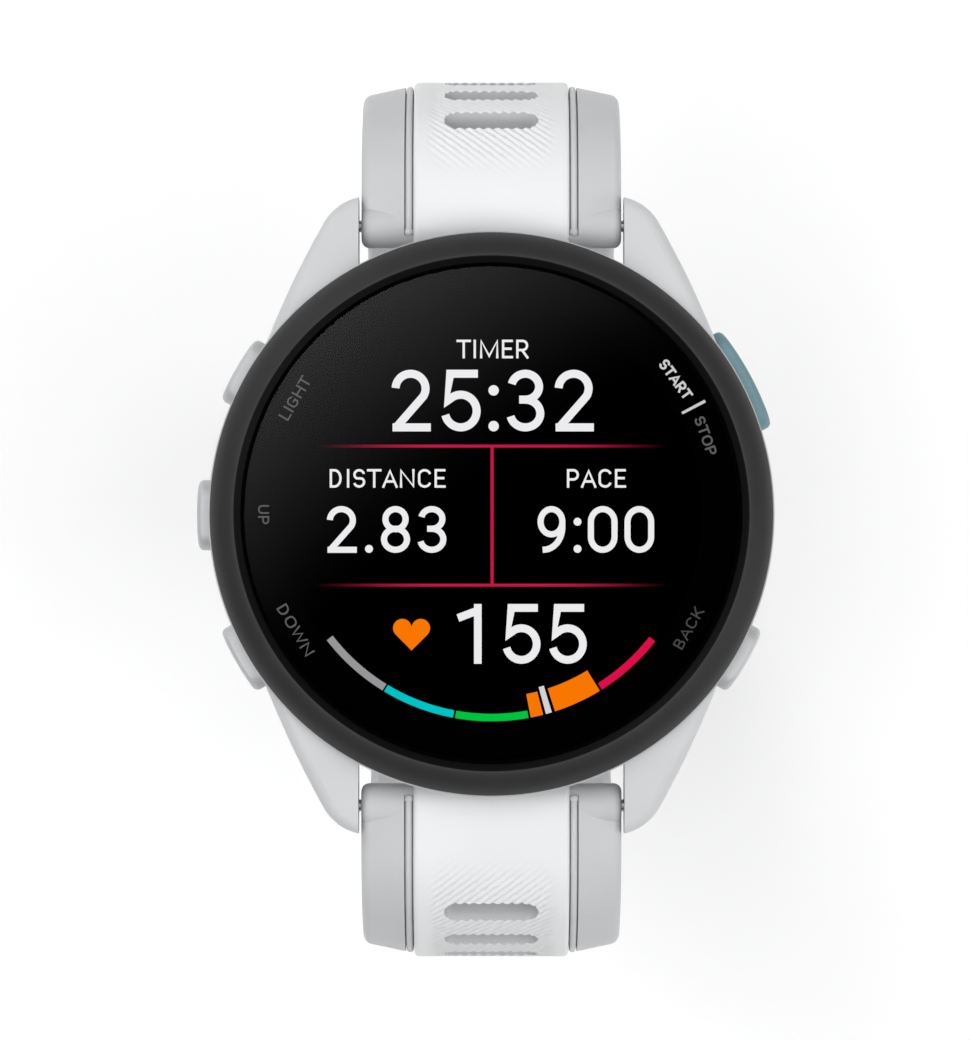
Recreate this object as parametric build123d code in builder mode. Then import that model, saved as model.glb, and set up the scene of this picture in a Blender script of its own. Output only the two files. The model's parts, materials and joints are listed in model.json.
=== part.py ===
"""A round GPS running watch with five side buttons and an open two-colour silicone strap.

The frame: +Z is the way the display faces, +Y points to 12 o'clock and +X to 3 o'clock. The
origin is the centre of the flat heart-rate window on the back, which rests on the wrist.
All sizes are in millimetres. Each strap half hangs from its own spring bar, unbuckled.
"""

import os
from math import cos, degrees, radians, sin, sqrt

from build123d import *

os.makedirs("parts", exist_ok=True)

# ---------------------------------------------------------------- driving sizes: the case stack
window_proud = 0.3  # heart-rate window below the sensor dome
dome_height = 1.0  # sensor dome below the back cover
cover_thickness = 1.2
case_height = 7.7  # back face to the bezel seat
bezel_height = 2.6
bezel_side_height = 0.7  # upright band below the sloping face
flange_height = 0.7  # rim of the case just under the bezel

# ---------------------------------------------------------------- driving sizes: radii
bezel_radius = 21.5
bezel_face_width = 1.85
rim_proud = 0.12  # the case rim shows as a thin line round the bezel
case_inset = 0.3  # side wall inside the bezel's edge
case_draft = 1.2  # how far the wall comes in at the back
case_wall = 4.0
cover_ledge = 1.3  # seat for the back cover and its seal
lens_margin = 2.5  # bezel seen round the lens
lens_thickness = 1.0
lens_depth = 0.35  # top of the lens below the top of the bezel
bond_gap = 0.15  # adhesive under the lens
lip_wall = 0.6
display_thickness = 0.8

# ---------------------------------------------------------------- driving sizes: fits
fit_gap = 0.1  # parts that drop into each other
running_gap = 0.05  # round parts that turn or slide
side_gap = 0.2  # strap end to lug
travel_gap = 0.15  # round a button cap

# ---------------------------------------------------------------- driving sizes: strap and spring bar
strap_width = 20.0
strap_thickness = 3.2
strap_crown = 0.7  # how far the bands fall towards their edges
panel_half_width = 6.0
panel_proud = 0.4  # centre panel above the bands
panel_thickness = 0.9
groove_width = 0.7
root_radius = 2.1  # strap end wrapped round the spring bar
pin_past_bezel = 0.8  # spring bar outside the bezel
pin_height = 4.2
bar_radius = 0.9
tip_radius = 0.45
tip_length = 1.0  # spring bar tip inside the lug
lug_reach = 2.15  # lug past the spring bar
lug_tip_low = 2.2
lug_tip_high = 6.3
lug_bend_radius = 8.0
lug_edge_round = 1.0
lug_low_round = 0.8

root_run = 2.2  # straight run over the spring bar
knuckle_radius = 8.0
knuckle_turn = 57.0
wrist_radius = 19.5
buckle_side_turn = 56.0
buckle_side_radius = 38.0
buckle_side_bend = 27.0
keeper_run = 27.0  # straight run that carries the keepers
slot_side_turn = 41.0
tail_radius = 90.0
tail_bend = 54.0

slot_length = 7.3
slot_height = 2.1
slot_pitch = 4.5
first_slot = 9.2  # along the strap from the spring bar
buckle_side_slots = 5
tail_margin = 10.0  # strap left past the last slot

# ---------------------------------------------------------------- driving sizes: buckle and keepers
buckle_pin_radius = 0.75
buckle_bar = 1.8  # section of the frame
buckle_window = 6.6  # from the pin's strap loop to the cross bar
tongue_width = 6.3
tongue_thickness = 1.1
keeper_wall = 1.1
keeper_length = 5.0
keeper_room = 3.5  # for the tail above the strap
keeper_gap = 0.12
fixed_keeper_at = 9.5  # from the buckle pin back along the strap
sliding_keeper_at = 18.5

# ---------------------------------------------------------------- driving sizes: release levers
thumb_at = 4.8  # thumb pin along the bar
thumb_radius = 0.5
thumb_reach = 2.3
release_travel = 1.4

# ---------------------------------------------------------------- driving sizes: buttons
button_height = 3.2  # along Z
button_level = 5.1
button_proud = 1.1  # outer face outside the bezel
button_travel = 0.5
button_depth = 2.2  # cap from its inner face to its crown
stem_radius = 1.0
seal_section = 0.4
clip_radius = 1.6
clip_thickness = 0.3
clip_gap = 0.3
stem_past_clip = 0.25
buttons = {  # name: (angle from +X, length round the case)
    "start_button": (28.3, 8.3),
    "back_button": (-30.0, 5.4),
    "light_button": (150.0, 5.4),
    "up_button": (180.0, 5.4),
    "down_button": (210.0, 5.4),
}

# ---------------------------------------------------------------- worked out from those
back_z = window_proud + dome_height
cover_top = back_z + cover_thickness
seat_z = back_z + case_height
top_of_wall = seat_z - flange_height
top_z = seat_z + bezel_height
rim_radius = bezel_radius + rim_proud
lens_radius = bezel_radius - lens_margin
pin_offset = bezel_radius + pin_past_bezel
button_reach = bezel_radius + button_proud
case_radius = bezel_radius - case_inset
base_radius = case_radius - case_draft
cavity_radius = case_radius - case_wall
cover_radius = cavity_radius + cover_ledge
lip_radius = cavity_radius - fit_gap
lip_bore = lip_radius - lip_wall
bezel_top_radius = bezel_radius - bezel_face_width
lens_bore = lens_radius + fit_gap
lens_top = top_z - lens_depth
lens_bottom = lens_top - lens_thickness
ledge_z = lens_bottom - bond_gap
display_radius = lip_bore - 2 * fit_gap
lug_half_gap = strap_width / 2 + side_gap
lug_tip_y = pin_offset + lug_reach
panel_top_z = pin_height + root_radius


def save(builder, label):
    """Names a finished piece and writes its STEP file."""
    builder.part.label = label
    export_step(builder.part, f"parts/{label}.step")


# ================================================================ case
# Screw ears of the back cover sit at the roots of the lugs.
screw_head_radius = 1.25
screw_radius = 0.65
ear_wall = 0.85
ear_radius = screw_head_radius + ear_wall
ear_x = lug_half_gap + ear_radius + 0.6
ear_y = sqrt((cover_radius + ear_radius * 0.4) ** 2 - ear_x**2)
screw_length = 3.4
ears = [(ear_x, ear_y), (-ear_x, ear_y), (-ear_x, -ear_y), (ear_x, -ear_y)]


def cover_outline(growth):
    """The back cover seen from below: a disc with four screw ears, grown by the fit."""
    Circle(cover_radius + growth)
    with Locations(*ears):
        Circle(ear_radius + growth)


# One lug seen from above: it sweeps out of the round case to a rounded horn beside the strap.
lug_corner_x = lug_half_gap + 2.6
lug_corner_y = lug_tip_y - 1.85
lug_bulge_x = lug_half_gap + 5.77
lug_bulge_y = pin_offset - 6.1
lug_root_angle = 30.0
lug_root_x = (case_radius - fit_gap) * cos(radians(lug_root_angle))
lug_root_y = (case_radius - fit_gap) * sin(radians(lug_root_angle))
lug_inner_y = cavity_radius * 0.6

with BuildPart() as lugs:
    with BuildSketch(Plane.XY.offset(back_z)):
        with BuildLine():
            Line((lug_half_gap, lug_inner_y), (lug_half_gap, lug_tip_y))
            ThreePointArc(
                (lug_half_gap, lug_tip_y),
                (lug_half_gap + 1.55, lug_tip_y - 0.7),
                (lug_corner_x, lug_corner_y),
            )
            ThreePointArc(
                (lug_corner_x, lug_corner_y), (lug_bulge_x, lug_bulge_y), (lug_root_x, lug_root_y)
            )
            Line((lug_root_x, lug_root_y), (lug_half_gap, lug_inner_y))
        make_face()
        mirror(about=Plane.YZ)
        mirror(about=Plane.XZ)
    extrude(amount=top_of_wall - back_z)
    # Seen from the side the lugs fall away towards their tips.
    with BuildSketch(Plane.YZ):
        with BuildLine():
            Polyline(
                (0, back_z),
                (pin_offset - 1.6, back_z),
                (lug_tip_y, lug_tip_low),
                (lug_tip_y, lug_tip_high),
                (pin_offset - 4.6, top_of_wall),
                (0, top_of_wall),
            )
            mirror(about=Plane.YZ)
        make_face()
    extrude(amount=2 * case_radius, both=True, mode=Mode.INTERSECT)
    # The falling tops start in a long bend, and the outer edges are rounded off.
    bends = lugs.edges().filter_by(Axis.X).filter_by_position(Axis.Z, top_of_wall, top_of_wall)
    fillet(bends.filter_by(lambda e: abs(e.center().Y) > cavity_radius), lug_bend_radius)
    outer = lugs.edges().filter_by(
        lambda e: e.geom_type != GeomType.LINE
        and abs(e.center().X) > lug_half_gap + lug_edge_round / 2
        and abs(e.center().Y) > lug_bulge_y - lug_edge_round
    )
    fillet(outer.filter_by(lambda e: e.center().Z > pin_height), lug_edge_round)
    lower = lugs.edges().filter_by(
        lambda e: abs(e.center().X) > lug_half_gap + lug_edge_round / 2
        and abs(e.center().Y) > lug_bulge_y + lug_edge_round
        and e.center().Z < lug_tip_low + lug_low_round / 2
    )
    fillet(lower, lug_low_round)

with BuildPart() as case_body:
    # Turned body: rim, upright wall and the draft towards the back.
    with BuildSketch(Plane.XZ):
        with BuildLine():
            Polyline(
                (base_radius - 0.8, back_z),
                (cavity_radius, back_z),
                (cavity_radius, seat_z),
                (rim_radius, seat_z),
                (rim_radius, top_of_wall),
                (case_radius, top_of_wall - 0.4),
                (case_radius, button_level),
            )
            ThreePointArc(
                (case_radius, button_level),
                (case_radius - case_draft * 0.3, back_z + 1.6),
                (base_radius - 0.8, back_z),
            )
        make_face()
    revolve(axis=Axis.Z)
    add(lugs.part)
    Cylinder(
        cavity_radius, case_height + 2, align=(Align.CENTER, Align.CENTER, Align.MIN),
        mode=Mode.SUBTRACT,
    )
    # Seat for the back cover, with its seal groove.
    with BuildSketch(Plane.XY.offset(back_z)):
        cover_outline(fit_gap)
    extrude(amount=cover_thickness, mode=Mode.SUBTRACT)

seal_groove_width = 0.8
seal_groove_depth = 0.5
seal_radius = (cavity_radius + cover_radius) / 2
strap_room_y = pin_offset - root_radius - 0.9
strap_room_depth = 2 * (lug_tip_y - strap_room_y) + 4
cap_floor = button_reach - button_depth
pocket_floor = cap_floor - button_travel - running_gap  # clear of the cap at full press
bore_radius = stem_radius + running_gap


def facing(angle, radius):
    """Plane square to the radius at this angle, its local X along the case and Y upwards."""
    out = Vector(cos(radians(angle)), sin(radians(angle)), 0)
    across = Vector(-sin(radians(angle)), cos(radians(angle)), 0)
    return Plane(origin=out * radius + Vector(0, 0, button_level), x_dir=across, z_dir=out)


with BuildPart() as mid_case:
    add(case_body.part)
    # Room for the strap ends between the lugs, under the rim.
    for side in (1, -1):
        with BuildSketch(Plane.XY):
            with Locations((0, side * (strap_room_y + strap_room_depth / 2))):
                Rectangle(2 * lug_half_gap, strap_room_depth)
        extrude(amount=top_of_wall, mode=Mode.SUBTRACT)
    # Groove for the back seal, in the seat of the cover.
    with BuildSketch(Plane.XY.offset(cover_top)):
        Circle(seal_radius + seal_groove_width / 2)
        Circle(seal_radius - seal_groove_width / 2, mode=Mode.SUBTRACT)
    extrude(amount=seal_groove_depth, mode=Mode.SUBTRACT)
    # Tapped holes for the back screws.
    with BuildSketch(Plane.XY.offset(back_z)):
        with Locations(*ears):
            Circle(screw_radius + running_gap)
    extrude(amount=screw_length + 0.6, mode=Mode.SUBTRACT)
    # Blind holes in the lugs for the spring bar tips.
    for end in (1, -1):
        with BuildSketch(Plane.YZ.offset(end * lug_half_gap)):
            with Locations((pin_offset, pin_height), (-pin_offset, pin_height)):
                Circle(tip_radius + running_gap)
        extrude(amount=end * (tip_length + 0.2), mode=Mode.SUBTRACT)
    # Pockets and bores for the five buttons.
    for angle, length in buttons.values():
        with BuildSketch(facing(angle, pocket_floor)):
            RectangleRounded(
                length + 2 * travel_gap, button_height + 2 * travel_gap,
                button_height * 0.45 + travel_gap,
            )
        extrude(amount=6, mode=Mode.SUBTRACT)
        with BuildSketch(facing(angle, pocket_floor)):
            Circle(bore_radius)
        extrude(amount=-(pocket_floor - cavity_radius + 1), mode=Mode.SUBTRACT)
save(mid_case, "mid_case")

# ================================================================ back of the watch
window_radius = 8.6
dome_top_radius = 10.5
dome_foot_radius = 12.5
window_thickness = 0.9
window_land = 1.0  # ledge that carries the window
port_length = 7.4
port_width = 2.6
port_depth = 0.7
port_y = -(dome_foot_radius + port_width / 2 + 0.35)
contact_pitch = 1.8
contact_radius = 0.45
vent_radius = 0.35
vent_spot = (-8.0, 11.9)
vent_pitch = 1.3
contact_spots = [((i - 1.5) * contact_pitch, port_y) for i in range(4)]
window_top = window_thickness
head_depth = 0.75

with BuildPart() as back_cover:
    with BuildSketch(Plane.XY.offset(back_z)):
        cover_outline(0)
    extrude(amount=cover_thickness)
    # Sensor dome: a low cone towards the wrist.
    with BuildSketch(Plane.XZ):
        with BuildLine():
            Polyline(
                (0, back_z),
                (dome_foot_radius, back_z),
                (dome_top_radius, window_proud),
                (0, window_proud),
                close=True,
            )
        make_face()
    revolve(axis=Axis.Z)
    # Pocket for the window, and the opening for the sensor behind it.
    with BuildSketch(Plane.XY):
        Circle(window_radius + fit_gap)
    extrude(amount=window_top, mode=Mode.SUBTRACT)
    with BuildSketch(Plane.XY):
        Circle(window_radius - window_land)
    extrude(amount=cover_top, mode=Mode.SUBTRACT)
    # Charging port with its four contact holes.
    with BuildSketch(Plane.XY.offset(back_z)):
        with Locations((0, port_y)):
            RectangleRounded(port_length, port_width, port_width / 3)
    extrude(amount=port_depth, mode=Mode.SUBTRACT)
    with BuildSketch(Plane.XY.offset(back_z)):
        with Locations(*contact_spots):
            Circle(contact_radius + running_gap)
    extrude(amount=cover_thickness, mode=Mode.SUBTRACT)
    # Pressure vent.
    with BuildSketch(Plane.XY.offset(back_z)):
        with Locations(vent_spot):
            with GridLocations(vent_pitch, vent_pitch, 3, 1):
                Circle(vent_radius)
    extrude(amount=cover_thickness, mode=Mode.SUBTRACT)
    # Counterbored screw holes in the ears.
    with BuildSketch(Plane.XY.offset(back_z)):
        with Locations(*ears):
            Circle(screw_radius + running_gap)
    extrude(amount=cover_thickness, mode=Mode.SUBTRACT)
    with BuildSketch(Plane.XY.offset(back_z)):
        with Locations(*ears):
            Circle(screw_head_radius + fit_gap)
    extrude(amount=head_depth, mode=Mode.SUBTRACT)
save(back_cover, "back_cover")

with BuildPart() as back_screws:
    head_low = back_z + fit_gap
    with BuildSketch(Plane.XY.offset(head_low)):
        with Locations(*ears):
            Circle(screw_head_radius)
    extrude(amount=head_depth - fit_gap)
    with BuildSketch(Plane.XY.offset(head_low)):
        with Locations(*ears):
            Circle(screw_radius)
    extrude(amount=screw_length)
    # Hexalobular drive: a small hub with six lobes.
    with BuildSketch(Plane.XY.offset(head_low)):
        for x, y in ears:
            with Locations((x, y)):
                Circle(screw_radius * 0.75)
                with PolarLocations(screw_radius * 0.72, 6):
                    Circle(screw_radius * 0.28)
    extrude(amount=head_depth * 0.6, mode=Mode.SUBTRACT)
save(back_screws, "back_screws")

with BuildPart() as back_seal:
    with BuildSketch(Plane.XZ):
        with Locations((seal_radius, cover_top + seal_groove_depth / 2)):
            Circle(seal_groove_depth / 2)
    revolve(axis=Axis.Z)
save(back_seal, "back_seal")

with BuildPart() as heart_rate_window:
    with BuildSketch(Plane.XY):
        Circle(window_radius)
    extrude(amount=window_thickness)
    chamfer(heart_rate_window.edges().group_by(Axis.Z)[0], window_proud * 0.8)
save(heart_rate_window, "heart_rate_window")

sensor_radius = window_radius - window_land - fit_gap
sensor_board_low = cover_top - 0.8
led_size = 1.5
with BuildPart() as sensor_board:
    with BuildSketch(Plane.XY.offset(sensor_board_low)):
        Circle(sensor_radius)
    extrude(amount=0.6)
save(sensor_board, "sensor_board")

with BuildPart() as sensor_baffle:
    # Black ring and cross walls that keep the light sources away from the detectors.
    baffle_height = sensor_board_low - window_top
    with BuildSketch(Plane.XY.offset(window_top)):
        Circle(sensor_radius)
        Circle(sensor_radius - 0.8, mode=Mode.SUBTRACT)
        Rectangle(0.8, 2 * sensor_radius - 1)
        Rectangle(2 * sensor_radius - 1, 0.8)
    extrude(amount=baffle_height)
save(sensor_baffle, "sensor_baffle")

with BuildPart() as sensor_leds:
    with BuildSketch(Plane.XY.offset(sensor_board_low)):
        with PolarLocations(sensor_radius * 0.45, 2, start_angle=45):
            Rectangle(led_size, led_size)
    extrude(amount=-0.5)
save(sensor_leds, "sensor_leds")

with BuildPart() as sensor_photodiodes:
    with BuildSketch(Plane.XY.offset(sensor_board_low)):
        with PolarLocations(sensor_radius * 0.5, 2, start_angle=135):
            Rectangle(2 * led_size, 2 * led_size)
    extrude(amount=-0.4)
save(sensor_photodiodes, "sensor_photodiodes")

insulator_height = 0.6
with BuildPart() as charge_contacts:
    with BuildSketch(Plane.XY.offset(back_z + port_depth * 0.55)):
        with Locations(*contact_spots):
            Circle(contact_radius)
    extrude(amount=cover_thickness + insulator_height + 0.2 - port_depth * 0.55)
    fillet(charge_contacts.edges().group_by(Axis.Z)[0], contact_radius * 0.4)
save(charge_contacts, "charge_contacts")

with BuildPart() as charge_insulator:
    with BuildSketch(Plane.XY.offset(cover_top)):
        with Locations((0, port_y)):
            RectangleRounded(port_length + 0.6, port_width - 0.2, 0.4)
        with Locations(*contact_spots):
            Circle(contact_radius, mode=Mode.SUBTRACT)
    extrude(amount=insulator_height)
save(charge_insulator, "charge_insulator")

with BuildPart() as pressure_sensor:
    with BuildSketch(Plane.XY.offset(cover_top)):
        with Locations(vent_spot):
            Rectangle(2 * vent_pitch + 2 * vent_radius + 0.4, 2.4)
    extrude(amount=0.9)
save(pressure_sensor, "pressure_sensor")

buzzer_radius = 3.4
buzzer_y = cavity_radius - buzzer_radius - 1.0
with BuildPart() as buzzer_disc:
    with BuildSketch(Plane.XY.offset(cover_top)):
        with Locations((2.0, buzzer_y)):
            Circle(buzzer_radius)
    extrude(amount=0.25)
    with BuildSketch(Plane.XY.offset(cover_top + 0.25)):
        with Locations((2.0, buzzer_y)):
            Circle(buzzer_radius * 0.7)
    extrude(amount=0.2)
save(buzzer_disc, "buzzer_disc")

# ================================================================ inside: battery, motor, boards
battery_low = cover_top + 0.8
battery_height = 3.0
battery_width = 19.0
battery_length = 20.0
battery_x = -3.0
battery_corner = 4.0
motor_radius = 4.0
motor_height = 2.7
motor_x = battery_x + battery_width / 2 + motor_radius + 2 * fit_gap
board_thickness = 0.8
board_top = seat_z - 0.9
board_low = board_top - board_thickness
board_radius = cavity_radius - 1.3
shield_height = 0.8

with BuildPart() as battery:
    with BuildSketch(Plane.XY.offset(battery_low)):
        with Locations((battery_x, 0)):
            RectangleRounded(battery_width, battery_length, battery_corner)
    extrude(amount=battery_height)
    fillet(battery.edges().group_by(Axis.Z)[0] + battery.edges().group_by(Axis.Z)[-1], 0.6)
save(battery, "battery")

with BuildPart() as battery_pad:
    with BuildSketch(Plane.XY.offset(cover_top)):
        with Locations((battery_x, 0)):
            RectangleRounded(battery_width - 5, battery_length - 5, battery_corner - 1)
    extrude(amount=battery_low - cover_top)
save(battery_pad, "battery_pad")

with BuildPart() as vibration_motor:
    with BuildSketch(Plane.XY.offset(battery_low)):
        with Locations((motor_x, 0)):
            Circle(motor_radius)
    extrude(amount=motor_height)
    fillet(vibration_motor.edges().group_by(Axis.Z)[-1], 0.3)
save(vibration_motor, "vibration_motor")

board_screw_spots = [
    ((board_radius - 1.6) * cos(radians(a)), (board_radius - 1.6) * sin(radians(a)))
    for a in (60, 120, 240, 300)
]
board_screw_radius = 0.5
with BuildPart() as main_board:
    with BuildSketch(Plane.XY.offset(board_low)):
        Circle(board_radius)
        with Locations(*board_screw_spots):
            Circle(board_screw_radius + running_gap, mode=Mode.SUBTRACT)
    extrude(amount=board_thickness)
save(main_board, "main_board")

with BuildPart() as shield_cans:
    with BuildSketch(Plane.XY.offset(board_low)):
        with Locations((-5.2, 2.5)):
            RectangleRounded(9.0, 10.0, 0.6)
        with Locations((5.2, 4.0)):
            RectangleRounded(9.0, 7.0, 0.6)
        with Locations((4.0, -4.2)):
            RectangleRounded(7.0, 6.0, 0.6)
    extrude(amount=-shield_height)
save(shield_cans, "shield_cans")

with BuildPart() as memory_chips:
    with BuildSketch(Plane.XY.offset(board_low)):
        with Locations((-4.0, -6.5), (-8.5, -5.8), (9.6, -3.5)):
            Rectangle(2.6, 2.2)
    extrude(amount=-0.6)
save(memory_chips, "memory_chips")

# ================================================================ display module and bezel
frame_low = board_top + 0.25
frame_top = ledge_z - display_thickness + bond_gap
frame_radius = display_radius
flex_width = 8.0
flex_thickness = 0.12
flex_y = -(frame_radius - 1.2)
flex_slot = 0.6

with BuildPart() as display_frame:
    with BuildSketch(Plane.XY.offset(frame_low)):
        Circle(frame_radius)
        with Locations((0, flex_y)):
            Rectangle(flex_width + 4 * fit_gap, flex_slot, mode=Mode.SUBTRACT)
        with Locations(*board_screw_spots):
            Circle(board_screw_radius, mode=Mode.SUBTRACT)
    extrude(amount=frame_top - frame_low)
save(display_frame, "display_frame")

with BuildPart() as board_screws:
    with BuildSketch(Plane.XY.offset(board_low)):
        with Locations(*board_screw_spots):
            Circle(board_screw_radius * 1.9)
    extrude(amount=-0.4)
    with BuildSketch(Plane.XY.offset(board_low)):
        with Locations(*board_screw_spots):
            Circle(board_screw_radius)
    extrude(amount=frame_top - board_low - fit_gap)
save(board_screws, "board_screws")

antenna_width = 1.0
with BuildPart() as satellite_antenna:
    with BuildSketch(Plane.XY.offset(board_top)):
        Circle(board_radius)
        Circle(board_radius - antenna_width, mode=Mode.SUBTRACT)
        with Locations((0, -board_radius)):
            Rectangle(flex_width + antenna_width, 4 * antenna_width, mode=Mode.SUBTRACT)
    extrude(amount=frame_low - board_top)
save(satellite_antenna, "satellite_antenna")

with BuildPart() as display_panel:
    with BuildSketch(Plane.XY.offset(frame_top)):
        Circle(display_radius)
    extrude(amount=lens_bottom - frame_top)
save(display_panel, "display_panel")

with BuildPart() as display_flex:
    with BuildSketch(Plane.YZ):
        with Locations((flex_y, (board_top + frame_top) / 2)):
            Rectangle(flex_thickness, frame_top - board_top)
        with Locations((flex_y + 1.2, board_top + flex_thickness / 2)):
            Rectangle(2.4, flex_thickness)
    extrude(amount=flex_width / 2, both=True)
save(display_flex, "display_flex")

with BuildPart() as lens_seal:
    with BuildSketch(Plane.XY.offset(ledge_z)):
        Circle(lens_radius - fit_gap)
        Circle(display_radius + 4 * fit_gap, mode=Mode.SUBTRACT)
    extrude(amount=bond_gap)
save(lens_seal, "lens_seal")

with BuildPart() as cover_lens:
    with BuildSketch(Plane.XY.offset(lens_bottom)):
        Circle(lens_radius)
    extrude(amount=lens_thickness)
    fillet(cover_lens.edges().group_by(Axis.Z)[-1], 0.3)
save(cover_lens, "cover_lens")

bezel_edge_round = 0.35
lip_depth = 0.8
with BuildPart() as bezel:
    with BuildSketch(Plane.XZ):
        with BuildLine():
            Polyline(
                (lip_bore, seat_z - lip_depth),
                (lip_radius, seat_z - lip_depth),
                (lip_radius, seat_z),
                (bezel_radius, seat_z),
                (bezel_radius, seat_z + bezel_side_height),
            )
            ThreePointArc(
                (bezel_radius, seat_z + bezel_side_height),
                (bezel_radius - bezel_face_width * 0.37, seat_z + bezel_height * 0.71),
                (bezel_top_radius, top_z),
            )
            Polyline(
                (bezel_top_radius, top_z),
                (lens_bore, lens_top - 0.1),
                (lens_bore, ledge_z),
                (lip_bore, ledge_z),
                (lip_bore, seat_z - lip_depth),
            )
        make_face()
    revolve(axis=Axis.Z)
    rims = bezel.edges().filter_by(GeomType.CIRCLE)
    fillet(rims.filter_by_position(Axis.Z, top_z - fit_gap, top_z + fit_gap), bezel_edge_round)
save(bezel, "bezel")

# ================================================================ buttons and their switches
clip_outer = cavity_radius - clip_gap
clip_inner = clip_outer - clip_thickness
stem_tip = clip_inner - stem_past_clip
seal_outer = stem_radius + 0.03
seal_core = seal_outer - seal_section
seal_centre = (pocket_floor + cavity_radius) / 2
cap_edge_round = 0.45

for name, (angle, length) in buttons.items():
    with BuildPart() as cap:
        with BuildSketch(facing(angle, cap_floor)):
            RectangleRounded(length, button_height, button_height * 0.45)
        extrude(amount=button_depth + 1)
        Cylinder(
            button_reach, 4 * button_level, align=(Align.CENTER, Align.CENTER, Align.MIN),
            mode=Mode.INTERSECT,
        )
        crown = cap.faces().sort_by(lambda face: face.center().Y ** 2 + face.center().X ** 2)[-1]
        fillet(crown.edges(), cap_edge_round)
        with BuildSketch(facing(angle, stem_tip)):
            Circle(stem_radius)
        extrude(amount=cap_floor - stem_tip)
        # Groove for the seal, then the groove for the clip.
        with BuildSketch(facing(angle, seal_centre - seal_section / 2 - 0.05)):
            Circle(stem_radius + 0.1)
            Circle(seal_core - 0.01, mode=Mode.SUBTRACT)
        extrude(amount=seal_section + 0.1, mode=Mode.SUBTRACT)
        with BuildSketch(facing(angle, clip_inner)):
            Circle(stem_radius + 0.1)
            Circle(stem_radius * 0.7, mode=Mode.SUBTRACT)
        extrude(amount=clip_thickness, mode=Mode.SUBTRACT)
    save(cap, name)

    with BuildPart() as seal:
        with BuildSketch(facing(angle, seal_centre - seal_section / 2)):
            Circle(seal_outer)
            Circle(seal_core, mode=Mode.SUBTRACT)
        extrude(amount=seal_section)
        fillet(seal.edges(), seal_section * 0.3)
    save(seal, f"{name}_seal")

    with BuildPart() as clip:
        # Open on one side, so that it can be pushed on to the stem.
        with BuildSketch(facing(angle, clip_inner)):
            Circle(clip_radius)
            Circle(stem_radius * 0.7, mode=Mode.SUBTRACT)
            with Locations((0, -clip_radius)):
                Rectangle(stem_radius * 1.2, 2 * clip_radius, mode=Mode.SUBTRACT)
        extrude(amount=clip_thickness)
    save(clip, f"{name}_clip")

switch_outer = stem_tip - button_travel - running_gap
flex_radius = switch_outer - 0.8
switch_width = 2.6
switch_height = 2.2
with BuildPart() as button_switches:
    for angle, length in buttons.values():
        with BuildSketch(facing(angle, flex_radius)):
            Rectangle(switch_width, switch_height)
        extrude(amount=switch_outer - flex_radius - 0.3)
        with BuildSketch(facing(angle, switch_outer - 0.3)):
            Circle(switch_height * 0.4)
        extrude(amount=0.3)
save(button_switches, "button_switches")

flex_low = button_level - switch_height / 2
for label, middle, spread in (("right_switch_flex", 0, 40), ("left_switch_flex", 180, 40)):
    with BuildPart() as flex:
        with BuildSketch(Plane.XY.offset(flex_low)):
            with BuildLine():
                start = middle - spread
                outer_arc = CenterArc((0, 0), flex_radius, start, 2 * spread)
                inner_arc = CenterArc((0, 0), flex_radius - flex_thickness, start, 2 * spread)
                Line(outer_arc @ 0, inner_arc @ 0)
                Line(outer_arc @ 1, inner_arc @ 1)
            make_face()
        extrude(amount=board_low - flex_low)
    save(flex, label)

carrier_low = button_level + clip_radius + 0.05
with BuildPart() as board_carrier:
    with BuildSketch(Plane.XY.offset(carrier_low)):
        Circle(cavity_radius)
        Circle(board_radius - 0.4, mode=Mode.SUBTRACT)
    extrude(amount=board_low - carrier_low)
save(board_carrier, "board_carrier")

# ================================================================ strap
barrel_radius = root_radius - panel_proud
bore_of_bar = bar_radius + running_gap
wrap_radius = root_radius - panel_thickness  # inside of the panel where it wraps the barrel
panel_wrap = 60.0  # degrees past the top of the barrel
groove_wrap = 28.0
groove_rise = panel_proud + 0.2  # cutters reach this far above the panel
edge_round = 0.8
loop_radius = 1.55
loop_depth = (strap_thickness + panel_proud) / 2  # buckle pin below the panel's surface
panel_edge_round = 0.35
panel_end_round = 4.0
bar_centre = Vector(0, pin_offset, pin_height)
notch_length = 4.0  # in the strap end, for the tongue
tongue_side_gap = 0.3
tip_flat = 3.0  # straight edge left across the end of the tail
tip_round = (strap_width - tip_flat) / 2
tail_rim = 4.0  # plain silicone left round the end of the tail's panel


def strap_line(*bends, run=0.0):
    """Outer line of a strap half: from over the bar, through bends of (radius, angle), to a run."""
    with BuildLine(Plane.YZ) as line:
        last = Line((pin_offset, panel_top_z), (pin_offset + root_run, panel_top_z))
        for radius, turn in ((knuckle_radius, knuckle_turn), *bends):
            last = JernArc(start=last @ 1, tangent=last % 1, radius=radius, arc_size=-turn)
        if run:
            Line(last @ 1, last @ 1 + (last % 1) * run)
    return line.wires()[0]


def across(line, distance):
    """Plane square to the strap at this distance, its local Y pointing out of the strap."""
    return Plane(
        origin=line.position_at(distance, position_mode=PositionMode.LENGTH),
        x_dir=(-1, 0, 0),
        z_dir=line.tangent_at(distance, position_mode=PositionMode.LENGTH),
    )


def on_top(line, distance):
    """Plane lying on the strap at this distance, its local Y along the strap."""
    square = across(line, distance)
    return Plane(origin=square.origin, x_dir=(1, 0, 0), z_dir=square.y_dir)


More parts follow.
